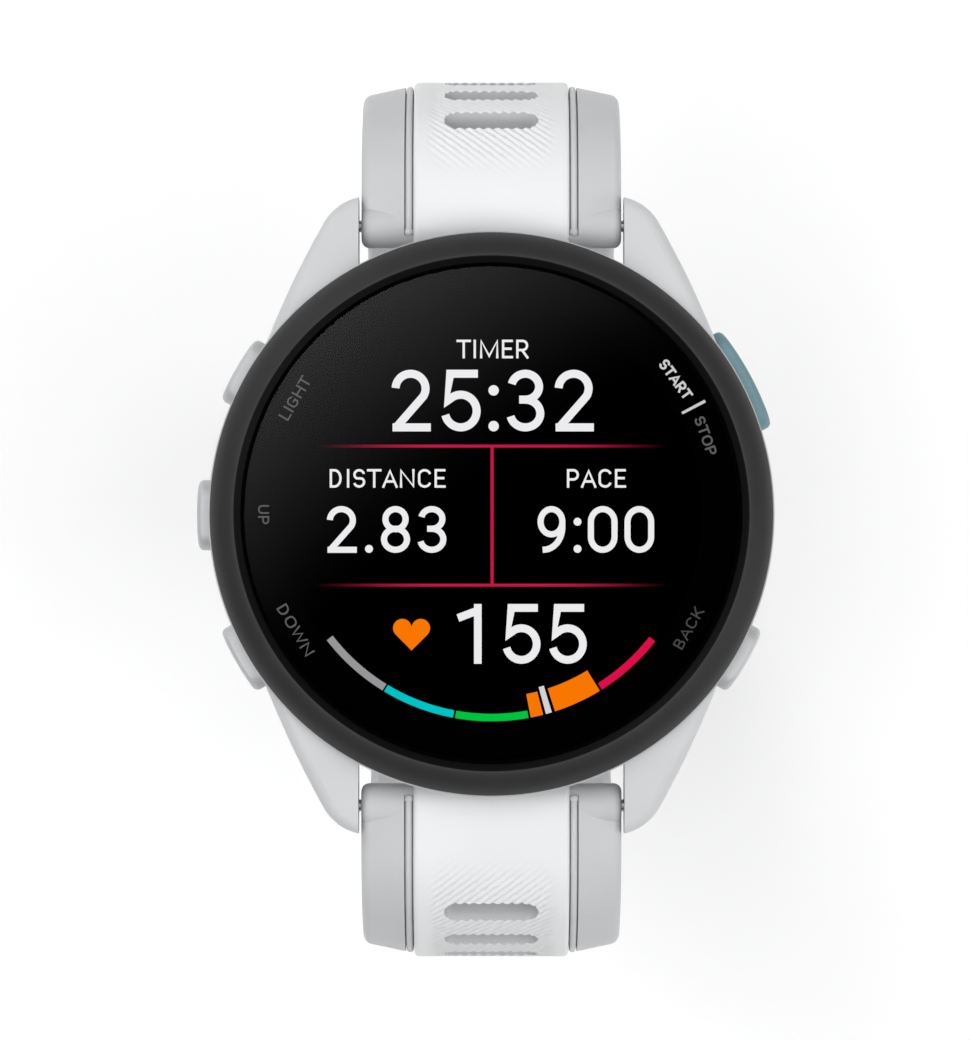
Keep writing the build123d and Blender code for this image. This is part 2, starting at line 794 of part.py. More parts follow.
def strap_body(line):
    """Silicone of a strap half: a barrel round the bar, then the bands along the line."""
    half = strap_width / 2
    with BuildPart() as body:
        with Locations((0, pin_offset, pin_height)):
            Cylinder(barrel_radius, strap_width, rotation=(0, 90, 0))
        fillet(body.edges().filter_by(GeomType.CIRCLE), strap_crown * 0.9)
        with BuildSketch(across(line, 0)):
            with BuildLine():
                Polyline(
                    (-half, -strap_thickness),
                    (half, -strap_thickness),
                    (half, -panel_proud - strap_crown),
                    (panel_half_width + groove_width, -panel_proud),
                    (-panel_half_width - groove_width, -panel_proud),
                    (-half, -panel_proud - strap_crown),
                    close=True,
                )
            section = make_face()
            fillet(section.vertices().filter_by(lambda v: abs(v.X) > half - 0.1), edge_round)
        sweep(path=line)
    return body.part


def panel_shape(line, growth, wrap, rise, rounding):
    """The centre panel, grown sideways by the groove, wrapped this far round the barrel."""
    half = panel_half_width + growth
    end = across(line, line.length)
    with BuildPart() as shape:
        with BuildSketch(across(line, 0)) as section:
            with Locations((0, (rise - panel_thickness) / 2)):
                Rectangle(2 * half, panel_thickness + rise)
        sweep(path=line)
        corners = shape.edges().filter_by(
            lambda e: abs(e.tangent_at(0.5).dot(end.y_dir)) > 0.999
            and abs((e.center() - end.origin).dot(end.z_dir)) < 0.01
            and abs(e.center().X) > half - 0.01
        )
        fillet(corners, panel_end_round + growth)
        revolve(
            section.sketch, axis=Axis((0, pin_offset, pin_height), (1, 0, 0)),
            revolution_arc=wrap,
        )
        if rounding:
            # The rim of the top surface: along both sides and round the end.
            top_corner = sqrt(half**2 + root_radius**2)
            sides = shape.edges().filter_by(
                lambda e: abs(e.center().X) > half * 0.6
                and line.distance_to(e.center()) < half + 0.01
            )
            wraps = shape.edges().filter_by(
                lambda e: e.geom_type == GeomType.CIRCLE
                and abs((e.center() - bar_centre).length - top_corner) < 0.01
            )
            tips = shape.edges().filter_by(lambda e: (e.center() - end.origin).length < 0.01)
            fillet(sides + wraps + tips, rounding)
    return shape.part


def cut_slots(line, count):
    """Cuts the row of buckle slots through the piece being built."""
    for i in range(count):
        with BuildSketch(on_top(line, first_slot + i * slot_pitch)) as slot:
            SlotOverall(slot_length, slot_height)
        extrude(slot.sketch, amount=2 * strap_thickness, both=True, mode=Mode.SUBTRACT)


def cut_for_bar():
    """Cuts the spring bar's bore and the thumb room of its release lever."""
    with Locations((0, pin_offset, pin_height)):
        Cylinder(bore_of_bar, 2 * strap_width, rotation=(0, 90, 0), mode=Mode.SUBTRACT)
    room_from = thumb_at - thumb_radius - release_travel - fit_gap * 2
    room_to = thumb_at + thumb_radius + fit_gap * 2
    with Locations(((room_from + room_to) / 2, pin_offset, pin_height)):
        Box(
            room_to - room_from, 4 * thumb_radius, 2 * strap_thickness,
            align=(Align.CENTER, Align.CENTER, Align.MAX), mode=Mode.SUBTRACT,
        )


def keeper_ring(line, distance, gap):
    """Loop round the strap, leaving room above it for the tail."""
    half = strap_width / 2 + gap
    low = -strap_thickness - gap
    high = -panel_proud + keeper_room
    with BuildPart() as ring:
        with BuildSketch(across(line, distance)):
            with Locations((0, (low + high) / 2)):
                RectangleRounded(
                    2 * (half + keeper_wall), high - low + 2 * keeper_wall, edge_round + keeper_wall
                )
                RectangleRounded(
                    2 * half, high - low, edge_round * 0.6, mode=Mode.SUBTRACT
                )
        extrude(amount=keeper_length / 2, both=True)
        rims = ring.edges().filter_by(
            lambda e: abs(abs((e.center() - across(line, distance).origin).dot(
                across(line, distance).z_dir)) - keeper_length / 2) < 0.01
        )
        fillet(rims, 0.3)
    return ring.part


buckle_bends = ((wrist_radius, buckle_side_turn), (buckle_side_radius, buckle_side_bend))
buckle_line = strap_line(*buckle_bends, run=keeper_run)
buckle_panel_line = strap_line(*buckle_bends)
tail_line = strap_line((wrist_radius, slot_side_turn), (tail_radius, tail_bend))
tail_panel_line = strap_line(
    (wrist_radius, slot_side_turn), (tail_radius, tail_bend - degrees(tail_rim / tail_radius))
)
tail_slots = int((tail_line.length - first_slot - tail_margin) / slot_pitch) + 1

# Local frame of the buckle: X across the strap, Y on past its end, Z out of the strap.
buckle_top = on_top(buckle_line, buckle_line.length)
buckle_plane = Plane(
    origin=buckle_top.origin - buckle_top.z_dir * loop_depth, x_dir=buckle_top.x_dir,
    z_dir=buckle_top.z_dir,
)
buckle_axis = Plane(origin=buckle_plane.origin, x_dir=buckle_plane.y_dir, z_dir=(1, 0, 0))

buckle_body = strap_body(buckle_line)
tail_body = strap_body(tail_line)
buckle_panel_room = panel_shape(buckle_panel_line, 0, panel_wrap, groove_rise, 0)
buckle_groove = panel_shape(buckle_panel_line, groove_width, groove_wrap, groove_rise, 0)
tail_panel_room = panel_shape(tail_panel_line, 0, panel_wrap, groove_rise, 0)
tail_groove = panel_shape(tail_panel_line, groove_width, groove_wrap, groove_rise, 0)
buckle_panel_body = panel_shape(buckle_panel_line, 0, panel_wrap, 0, panel_edge_round)
tail_panel_body = panel_shape(tail_panel_line, 0, panel_wrap, 0, panel_edge_round)

with BuildPart() as buckle_strap:
    add(buckle_body)
    # Loop round the buckle pin.
    with BuildSketch(buckle_axis):
        Circle(loop_radius)
    extrude(amount=strap_width / 2, both=True)
    add(buckle_groove, mode=Mode.SUBTRACT)
    add(buckle_panel_room, mode=Mode.SUBTRACT)
    cut_slots(buckle_line, buckle_side_slots)
    cut_for_bar()
    with BuildSketch(buckle_axis):
        Circle(buckle_pin_radius + running_gap)
    extrude(amount=strap_width, both=True, mode=Mode.SUBTRACT)
    # Notch for the tongue.
    with BuildSketch(buckle_plane):
        Rectangle(tongue_width + 2 * tongue_side_gap, 2 * notch_length)
    extrude(amount=2 * strap_thickness, both=True, mode=Mode.SUBTRACT)
save(buckle_strap, "buckle_strap")

with BuildPart() as buckle_strap_panel:
    add(buckle_panel_body)
    cut_slots(buckle_line, buckle_side_slots)
save(buckle_strap_panel, "buckle_strap_panel")

with BuildPart() as tail_strap:
    add(tail_body)
    # Rounded tip, cut square to the strap.
    with BuildSketch(on_top(tail_line, tail_line.length - tip_round)):
        with Locations((0, tip_round)):
            Rectangle(2 * strap_width, 2 * tip_round)
        with Locations((0, -tip_round)):
            RectangleRounded(strap_width, 4 * tip_round, tip_round * 0.999, mode=Mode.SUBTRACT)
    extrude(amount=2 * strap_thickness, both=True, mode=Mode.SUBTRACT)
    add(tail_groove, mode=Mode.SUBTRACT)
    add(tail_panel_room, mode=Mode.SUBTRACT)
    cut_slots(tail_line, tail_slots)
    cut_for_bar()
    mirror(about=Plane.XZ, mode=Mode.REPLACE)
save(tail_strap, "tail_strap")

with BuildPart() as tail_strap_panel:
    add(tail_panel_body)
    cut_slots(tail_line, tail_slots)
    mirror(about=Plane.XZ, mode=Mode.REPLACE)
save(tail_strap_panel, "tail_strap_panel")

# ---------------------------------------------------------------- keepers
with BuildPart() as fixed_keeper:
    add(keeper_ring(buckle_line, buckle_line.length - fixed_keeper_at, 0))
save(fixed_keeper, "fixed_keeper")

with BuildPart() as sliding_keeper:
    add(keeper_ring(buckle_line, buckle_line.length - sliding_keeper_at, keeper_gap))
save(sliding_keeper, "sliding_keeper")

# ---------------------------------------------------------------- buckle
cross_bar_at = loop_radius + buckle_window + buckle_bar / 2
arm_inner = strap_width / 2 + 2 * side_gap
arm_width = 1.5
arm_back = 1.3
frame_corner = 1.6
frame_edge_round = 0.35
tongue_corner = 1.6
tongue_edge_round = 0.3
frame_half = arm_inner + arm_width
with BuildPart() as buckle_frame:
    with BuildSketch(buckle_plane):
        with Locations((0, (cross_bar_at + buckle_bar / 2 - arm_back) / 2)):
            frame = Rectangle(2 * frame_half, cross_bar_at + buckle_bar / 2 + arm_back)
        with Locations((0, (cross_bar_at - buckle_bar / 2 - 2 * arm_back) / 2)):
            Rectangle(
                2 * arm_inner, cross_bar_at - buckle_bar / 2 + 2 * arm_back, mode=Mode.SUBTRACT
            )
    extrude(amount=buckle_bar / 2, both=True)
    uprights = buckle_frame.edges().filter_by(Axis(buckle_plane.origin, buckle_plane.z_dir))
    corners = uprights.filter_by(
        lambda e: (e.center() - buckle_plane.origin).dot(buckle_plane.y_dir) > arm_back
    )
    arm_middle = arm_inner + arm_width / 2
    fillet(corners.filter_by(lambda e: abs(e.center().X) > arm_middle), frame_corner)
    fillet(corners.filter_by(lambda e: abs(e.center().X) <= arm_middle), frame_corner / 2)
    flat_rims = buckle_frame.edges().filter_by(
        lambda e: abs(abs((e.center() - buckle_plane.origin).dot(buckle_plane.z_dir)) - buckle_bar / 2)
        < 0.01
    )
    fillet(flat_rims, frame_edge_round)
    # Bosses round the pin.
    for side in (1, -1):
        with BuildSketch(buckle_axis.offset(side * arm_inner)):
            Circle(arm_back)
        extrude(amount=side * arm_width)
    with BuildSketch(buckle_axis):
        Circle(buckle_pin_radius)
    extrude(amount=2 * frame_half, both=True, mode=Mode.SUBTRACT)
save(buckle_frame, "buckle_frame")

with BuildPart() as buckle_pin:
    with BuildSketch(buckle_axis):
        Circle(buckle_pin_radius)
    extrude(amount=frame_half - fit_gap, both=True)
save(buckle_pin, "buckle_pin")

tongue_end = cross_bar_at + buckle_bar / 2
tongue_low = buckle_bar / 2 + running_gap
tongue_ring = buckle_pin_radius + 0.8
with BuildPart() as buckle_tongue:
    with BuildSketch(buckle_axis):
        Circle(tongue_ring)
    extrude(amount=tongue_width / 2, both=True)
    with BuildSketch(buckle_plane.offset(tongue_low)):
        with Locations((0, (tongue_end - tongue_ring * 0.5) / 2)):
            Rectangle(tongue_width, tongue_end + tongue_ring * 0.5)
    extrude(amount=tongue_thickness)
    tip = buckle_tongue.edges().filter_by(Axis(buckle_plane.origin, buckle_plane.z_dir))
    fillet(
        tip.filter_by(lambda e: (e.center() - buckle_plane.origin).dot(buckle_plane.y_dir) > cross_bar_at),
        tongue_corner,
    )
    top_rim = buckle_tongue.edges().filter_by(
        lambda e: (e.center() - buckle_plane.origin).dot(buckle_plane.z_dir)
        > tongue_low + tongue_thickness * 0.99
        and (e.center() - buckle_plane.origin).dot(buckle_plane.y_dir) > tongue_ring
    )
    fillet(top_rim, tongue_edge_round)
    with BuildSketch(buckle_axis):
        Circle(buckle_pin_radius + running_gap)
    extrude(amount=tongue_width, both=True, mode=Mode.SUBTRACT)
save(buckle_tongue, "buckle_tongue")

# ---------------------------------------------------------------- spring bars
collar = 0.3
tube_half = strap_width / 2 - fit_gap
rod_radius = bar_radius - 0.3
rod_end = tube_half - collar - running_gap
tip_reach = lug_half_gap + tip_length
bar_axis = Plane(origin=(0, pin_offset, pin_height), x_dir=(0, 1, 0), z_dir=(1, 0, 0))
thumb_plane = Plane(origin=(thumb_at, pin_offset, pin_height), x_dir=(1, 0, 0), z_dir=(0, 0, -1))

with BuildPart() as bar_tube:
    with BuildSketch(bar_axis.offset(-tube_half)):
        Circle(bar_radius)
    extrude(amount=2 * tube_half)
    with BuildSketch(bar_axis.offset(-tube_half)):
        Circle(tip_radius)
    extrude(amount=-(tip_reach - tube_half))
    with BuildSketch(bar_axis.offset(tube_half - collar)):
        Circle(rod_radius + running_gap)
    extrude(amount=-(tube_half - collar + 4.0), mode=Mode.SUBTRACT)
    with BuildSketch(bar_axis.offset(tube_half)):
        Circle(tip_radius + running_gap)
    extrude(amount=-2 * collar, mode=Mode.SUBTRACT)
    # Slot for the thumb pin.
    with BuildSketch(thumb_plane):
        with Locations((-release_travel / 2, 0)):
            Rectangle(2 * thumb_radius + release_travel + fit_gap * 2, 2 * thumb_radius + fit_gap)
    extrude(amount=2 * bar_radius, mode=Mode.SUBTRACT)

with BuildPart() as lever:
    with BuildSketch(bar_axis.offset(thumb_at - release_travel)):
        Circle(rod_radius)
    extrude(amount=rod_end - thumb_at + release_travel)
    with BuildSketch(bar_axis.offset(rod_end)):
        Circle(tip_radius)
    extrude(amount=tip_reach - rod_end)
    with BuildSketch(thumb_plane):
        Circle(thumb_radius)
    extrude(amount=thumb_reach)

for label, side in (("buckle_side", 1), ("tail_side", -1)):
    with BuildPart() as spring_bar:
        add(bar_tube.part)
        if side < 0:
            mirror(about=Plane.XZ, mode=Mode.REPLACE)
    save(spring_bar, f"{label}_spring_bar")
    with BuildPart() as release_lever:
        add(lever.part)
        if side < 0:
            mirror(about=Plane.XZ, mode=Mode.REPLACE)
    save(release_lever, f"{label}_release_lever")
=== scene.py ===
"""Looks of a round GPS running watch with an open two-colour silicone strap.

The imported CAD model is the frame. Its nodes keep their shapes and get real finishes here. The
ribbed centre panels of the strap, the beads in its grooves, the screen and the printed ring
are made here in full. All lengths in the classes are in millimetres; MM turns them to metres.
"""

import json
import logging
import math
from dataclasses import dataclass, field
from enum import Enum

import bmesh
import bpy
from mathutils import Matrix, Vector

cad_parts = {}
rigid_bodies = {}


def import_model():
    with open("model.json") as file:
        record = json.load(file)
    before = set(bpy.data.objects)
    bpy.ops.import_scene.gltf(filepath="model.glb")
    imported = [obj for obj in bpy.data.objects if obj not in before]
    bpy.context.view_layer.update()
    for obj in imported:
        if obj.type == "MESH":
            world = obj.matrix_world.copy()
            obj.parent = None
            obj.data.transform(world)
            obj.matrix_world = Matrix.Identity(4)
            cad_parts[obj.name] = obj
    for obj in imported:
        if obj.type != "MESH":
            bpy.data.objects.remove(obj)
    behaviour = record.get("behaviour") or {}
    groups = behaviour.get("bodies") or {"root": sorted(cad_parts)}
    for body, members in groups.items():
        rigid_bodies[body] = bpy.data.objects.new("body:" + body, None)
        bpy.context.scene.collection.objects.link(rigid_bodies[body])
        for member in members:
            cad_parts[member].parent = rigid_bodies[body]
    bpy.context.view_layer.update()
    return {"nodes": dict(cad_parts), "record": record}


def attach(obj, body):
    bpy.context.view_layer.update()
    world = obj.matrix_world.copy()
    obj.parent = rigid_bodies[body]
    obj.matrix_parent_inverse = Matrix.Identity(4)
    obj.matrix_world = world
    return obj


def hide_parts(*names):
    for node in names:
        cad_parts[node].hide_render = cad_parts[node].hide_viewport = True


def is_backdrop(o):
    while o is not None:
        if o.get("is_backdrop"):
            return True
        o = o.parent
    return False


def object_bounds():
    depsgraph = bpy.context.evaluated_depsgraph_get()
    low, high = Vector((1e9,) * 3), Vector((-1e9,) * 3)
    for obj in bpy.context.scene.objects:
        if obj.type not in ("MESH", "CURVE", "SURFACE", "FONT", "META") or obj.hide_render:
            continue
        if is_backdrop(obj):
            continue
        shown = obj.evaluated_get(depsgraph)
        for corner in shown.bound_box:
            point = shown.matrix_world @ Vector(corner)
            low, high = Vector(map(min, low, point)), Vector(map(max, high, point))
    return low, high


MM = 0.001
LOG = logging.getLogger("watch")
Round = list[tuple[float, float]]  # points of an outline or a profile


# ================================================================ small helpers
def linear(hex_colour: str) -> tuple[float, float, float, float]:
    """Turns an sRGB hex colour into linear RGBA.

    Args:
        hex_colour: six hex digits, such as "c6c7c9".

    Returns:
        The colour as four linear values, alpha 1.
    """
    values = [int(hex_colour[i : i + 2], 16) / 255 for i in (0, 2, 4)]
    turned = [v / 12.92 if v <= 0.04045 else ((v + 0.055) / 1.055) ** 2.4 for v in values]
    return (turned[0], turned[1], turned[2], 1.0)


def add_node(tree: bpy.types.NodeTree, kind: str, inputs: dict | None = None, **settings) -> bpy.types.Node:
    """Adds a node, sets its properties, and fills or links its inputs.

    Args:
        tree: the node tree to add to.
        kind: the node's bl_idname.
        inputs: input name or index to a value, or to the socket that feeds it.
        **settings: properties of the node, such as operation="ADD".

    Returns:
        The new node.
    """
    made = tree.nodes.new(kind)
    for name, value in settings.items():
        setattr(made, name, value)
    for key, value in (inputs or {}).items():
        if isinstance(value, bpy.types.NodeSocket):
            tree.links.new(value, made.inputs[key])
        else:
            made.inputs[key].default_value = value
    return made


def put_mesh(
    name: str, points: list, faces: list, material: bpy.types.Material, smooth: bool = True
) -> bpy.types.Object:
    """Makes a mesh object at the origin from points in millimetres.

    Args:
        name: the object's name.
        points: (x, y, z) in millimetres.
        faces: tuples of point numbers, facing outwards.
        material: what it is made of.
        smooth: whether its faces are shaded smooth.

    Returns:
        The new object, linked to the scene.
    """
    mesh = bpy.data.meshes.new(name)
    mesh.from_pydata([Vector(p) * MM for p in points], [], faces)
    mesh.materials.append(material)
    mesh.shade_smooth() if smooth else mesh.shade_flat()
    made = bpy.data.objects.new(name, mesh)
    bpy.context.scene.collection.objects.link(made)
    return made


def bend(start: tuple, corner: tuple, end: tuple, steps: int) -> Round:
    """Points of a smooth curve that leaves for a corner and arrives from it.

    Args:
        start: where it starts.
        corner: where its two end tangents meet.
        end: where it ends.
        steps: how many stretches it has.

    Returns:
        The points, both ends among them.
    """
    ts = [i / steps for i in range(steps + 1)]
    ways = list(zip(start, corner, end))
    return [tuple((1 - t) ** 2 * a + 2 * t * (1 - t) * b + t * t * c for a, b, c in ways) for t in ts]


def turn_round(
    name: str, profile: Round, second_finish_spans: set[int], finishes: tuple["Finishes", "Finishes"], ring: bool
) -> bpy.types.Object:
    """Turns a profile round the watch's axis.

    Args:
        name: the piece's name.
        profile: (radius, height) points, anticlockwise with the axis on their left.
        second_finish_spans: the profile's stretches that have the second finish.
        finishes: the piece's finish and the second one.
        ring: whether the profile closes on itself; otherwise its ends get flat caps.

    Returns:
        The turned piece.
    """
    turns = 240
    points, faces = [], []
    for radius, height in profile:
        around = [2 * math.pi * i / turns for i in range(turns)]
        points += [(radius * math.cos(a), radius * math.sin(a), height) for a in around]
    rows = len(profile)
    spans = rows if ring else rows - 1
    for k in range(spans):
        low, high = k * turns, (k + 1) % rows * turns
        faces += [(low + i, low + (i + 1) % turns, high + (i + 1) % turns, high + i) for i in range(turns)]
    if not ring:
        faces.append(tuple(range(turns))[::-1])
        faces.append(tuple(range((rows - 1) * turns, rows * turns)))
    made = put_mesh(name, points, faces, finishes[0].material)
    made.data.materials.append(finishes[1].material)
    made.data.set_sharp_from_angle(angle=math.radians(32))
    for number, polygon in enumerate(made.data.polygons):
        polygon.material_index = 1 if number // turns in second_finish_spans and number < spans * turns else 0
        polygon.use_smooth = number < spans * turns
    return made


def set_input(modifier: bpy.types.Modifier, name: str, value: object) -> None:
    """Sets a Geometry Nodes input by its name, through the socket's identifier.

    Args:
        modifier: the Geometry Nodes modifier.
        name: the input's name.
        value: what it gets.
    """
    for item in modifier.node_group.interface.items_tree:
        if item.item_type == "SOCKET" and item.in_out == "INPUT" and item.name == name:
            modifier[item.identifier] = value
            return
    raise KeyError(name)


def make_plain(made: bpy.types.Object) -> None:
    """Applies every modifier of an object by taking its evaluated mesh.

    Args:
        made: the object.
    """
    bpy.context.view_layer.update()
    evaluated = made.evaluated_get(bpy.context.evaluated_depsgraph_get())
    mesh = bpy.data.meshes.new_from_object(evaluated)
    made.modifiers.clear()
    made.data = mesh


def start_tree(
    name: str, sizes: dict[str, float]
) -> tuple[bpy.types.NodeTree, bpy.types.bpy_prop_collection]:
    """Starts a Geometry Nodes tree with named sizes and a finish as its inputs.

    Args:
        name: the tree's name.
        sizes: each size's name and its value when nothing sets it.

    Returns:
        The tree and the sockets that its inputs come from.
    """
    tree = bpy.data.node_groups.new(name, "GeometryNodeTree")
    face = tree.interface
    face.new_socket("Geometry", in_out="INPUT", socket_type="NodeSocketGeometry")
    for label, value in sizes.items():
        face.new_socket(label, in_out="INPUT", socket_type="NodeSocketFloat").default_value = value
    face.new_socket("Finish", in_out="INPUT", socket_type="NodeSocketMaterial")
    face.new_socket("Geometry", in_out="OUTPUT", socket_type="NodeSocketGeometry")
    return tree, add_node(tree, "NodeGroupInput").outputs


def end_tree(tree: bpy.types.NodeTree, shape: bpy.types.NodeSocket, finish: bpy.types.NodeSocket) -> None:
    """Ends a tree with real geometry in its finish.

    Args:
        tree: the tree to end.
        shape: the socket that gives the geometry.
        finish: the socket that gives the material.
    """
    real = add_node(tree, "GeometryNodeRealizeInstances", {0: shape})
    dressed = add_node(tree, "GeometryNodeSetMaterial", {"Geometry": real.outputs[0], "Material": finish})
    tree.links.new(dressed.outputs["Geometry"], add_node(tree, "NodeGroupOutput").inputs[0])


# ================================================================ finishes
def blank_material(name: str) -> tuple[bpy.types.Material, bpy.types.NodeTree, bpy.types.Node]:
    """Makes a material that holds only a Principled shader.

    Args:
        name: the material's name.

    Returns:
        The material, its node tree and its shader node.
    """
    material = bpy.data.materials.new(name)
    material.use_nodes = True
    tree = material.node_tree
    return material, tree, tree.nodes["Principled BSDF"]


def work_surface(
    shader: bpy.types.Node, colours: tuple[str, str], tone: bpy.types.NodeSocket,
    texture: bpy.types.NodeSocket, rough: tuple[float, float], depth_mm: float,
) -> None:
    """Mixes two colours by one texture, and varies roughness and height by another.

    Args:
        shader: the Principled shader to feed.
        colours: the two sRGB hex colours.
        tone: the texture that mixes them.
        texture: the texture of the surface itself.
        rough: least and greatest roughness.
        depth_mm: height of the texture.
    """
    tree = shader.id_data
    mix = add_node(
        tree, "ShaderNodeMix",
        {"Factor": tone, "A": linear(colours[0]), "B": linear(colours[1])}, data_type="RGBA",
    )
    roughness = add_node(
        tree, "ShaderNodeMapRange", {"Value": texture, "To Min": rough[0], "To Max": rough[1]}
    )
    bump = add_node(
        tree, "ShaderNodeBump", {"Height": texture, "Distance": depth_mm * MM, "Strength": 1.0}
    )
    tree.links.new(mix.outputs["Result"], shader.inputs["Base Color"])
    tree.links.new(roughness.outputs["Result"], shader.inputs["Roughness"])
    tree.links.new(bump.outputs["Normal"], shader.inputs["Normal"])


@dataclass(frozen=True)
class Moulded:
    """A moulded polymer or rubber: even colour, faint mottling and a fine moulded grain.

    The grain breaks up reflections, so the surface looks matte and soft instead of painted.
    """

    name: str
    colour: str
    shade: str
    roughness: float = 0.5
    grain_mm: float = 0.25
    grain_depth_mm: float = 0.004
    mottle_mm: float = 5.0
    ior: float = 1.5
    sheen: float = 0.0
    coat: float = 0.0
    specular: float = 0.5

    def make(self) -> bpy.types.Material:
        """Makes the node material.

        Returns:
            The material.
        """
        material, tree, shader = blank_material(self.name)
        place = add_node(tree, "ShaderNodeTexCoord").outputs["Object"]
        mottle, grain = (
            add_node(tree, "ShaderNodeTexNoise", {"Vector": place, "Scale": 1 / (mm * MM), "Detail": detail})
            for mm, detail in ((self.mottle_mm, 3.0), (self.grain_mm, 2.0))
        )
        rough = (self.roughness - 0.06, self.roughness + 0.06)
        work_surface(
            shader, (self.colour, self.shade), mottle.outputs["Fac"], grain.outputs["Fac"], rough,
            self.grain_depth_mm,
        )
        shader.inputs["IOR"].default_value = self.ior
        shader.inputs["Sheen Weight"].default_value = self.sheen
        shader.inputs["Sheen Roughness"].default_value = 0.4
        shader.inputs["Coat Weight"].default_value = self.coat
        shader.inputs["Specular IOR Level"].default_value = self.specular
        return material


@dataclass(frozen=True)
class Brushed:
    """Stainless steel or plated metal, brushed along one axis into fine scratches."""

    name: str
    colour: str
    shade: str
    roughness: float = 0.3
    metallic: float = 1.0
    line_mm: float = 0.06
    line_length_mm: float = 3.0
    along: int = 0  # axis of the brushing
    depth_mm: float = 0.002

    def make(self) -> bpy.types.Material:
        """Makes the node material.

        Returns:
            The material.
        """
        material, tree, shader = blank_material(self.name)
        place = add_node(tree, "ShaderNodeTexCoord").outputs["Object"]
        stretch = [1 / (self.line_mm * MM)] * 3
        stretch[self.along] = 1 / (self.line_length_mm * MM)
        drawn = add_node(tree, "ShaderNodeMapping", {"Vector": place, "Scale": stretch}).outputs["Vector"]
        lines = add_node(tree, "ShaderNodeTexNoise", {"Vector": drawn, "Scale": 1.0, "Detail": 3.0})
        scratch = lines.outputs["Fac"]
        rough = (self.roughness - 0.08, self.roughness + 0.1)
        work_surface(shader, (self.colour, self.shade), scratch, scratch, rough, self.depth_mm)
        shader.inputs["Metallic"].default_value = self.metallic
        return material


@dataclass(frozen=True)
class Glass:
    """Chemically strengthened glass: clear, polished, with only its surface reflection."""

    name: str
    tint: str = "ffffff"
    roughness: float = 0.0
    transmission: float = 1.0
    ior: float = 1.5

    def make(self) -> bpy.types.Material:
        """Makes the node material.

        Returns:
            The material.
        """
        material, tree, shader = blank_material(self.name)
        place = add_node(tree, "ShaderNodeTexCoord").outputs["Object"]
        # Faint handling smears: only the roughness varies, by a hair.
        smear = add_node(tree, "ShaderNodeTexNoise", {"Vector": place, "Scale": 1 / (7 * MM), "Detail": 4.0})
        rough = add_node(
            tree, "ShaderNodeMapRange",
            {"Value": smear.outputs["Fac"], "From Min": 0.45, "From Max": 0.75,
             "To Min": self.roughness, "To Max": self.roughness + 0.03},
        )
        tree.links.new(rough.outputs["Result"], shader.inputs["Roughness"])
        shader.inputs["Base Color"].default_value = linear(self.tint)
        shader.inputs["Transmission Weight"].default_value = self.transmission
        shader.inputs["IOR"].default_value = self.ior
        return material


@dataclass(frozen=True)
class Glow:
    """Lit pixels of the screen, or printed ink made to glow as painted light: flat colour with a fine pixel
    grid in its brightness.

    With fade_mm it dims sideways from the middle, from the first distance to the second.
    """

    name: str
    colour: str
    strength: float = 1.0
    pixel_mm: float = 0.075
    fade_mm: tuple[float, float] = (50.0, 60.0)

    def make(self) -> bpy.types.Material:
        """Makes the node material.

        Returns:
            The material.
        """
        material, tree, shader = blank_material(self.name)
        place = add_node(tree, "ShaderNodeTexCoord").outputs["Object"]
        cells = add_node(
            tree, "ShaderNodeTexVoronoi",
            {"Vector": place, "Scale": 1 / (self.pixel_mm * MM), "Randomness": 0.0},
            feature="DISTANCE_TO_EDGE",
        )
        level = add_node(
            tree, "ShaderNodeMapRange",
            {"Value": cells.outputs["Distance"], "From Max": 0.15, "To Min": 0.93, "To Max": 1.0},
        )
        sideways = add_node(tree, "ShaderNodeSeparateXYZ", {"Vector": place}).outputs["X"]
        offside = add_node(tree, "ShaderNodeMath", {0: sideways}, operation="ABSOLUTE").outputs[0]
        dim = add_node(
            tree, "ShaderNodeMapRange",
            {"Value": offside, "From Min": self.fade_mm[0] * MM, "From Max": self.fade_mm[1] * MM,
             "To Min": 1.0, "To Max": 0.0},
            interpolation_type="SMOOTHSTEP",
        )
        lit = add_node(
            tree, "ShaderNodeMath", {0: level.outputs["Result"], 1: dim.outputs["Result"]},
            operation="MULTIPLY",
        )
        tint = add_node(
            tree, "ShaderNodeMix",
            {"Factor": lit.outputs[0], "A": (0.0, 0.0, 0.0, 1.0), "B": linear(self.colour)},
            data_type="RGBA",
        )
        shader.inputs["Base Color"].default_value = (0.0, 0.0, 0.0, 1.0)
        shader.inputs["Roughness"].default_value = 0.6
        shader.inputs["Specular IOR Level"].default_value = 0.0
        tree.links.new(tint.outputs["Result"], shader.inputs["Emission Color"])
        shader.inputs["Emission Strength"].default_value = self.strength
        return material


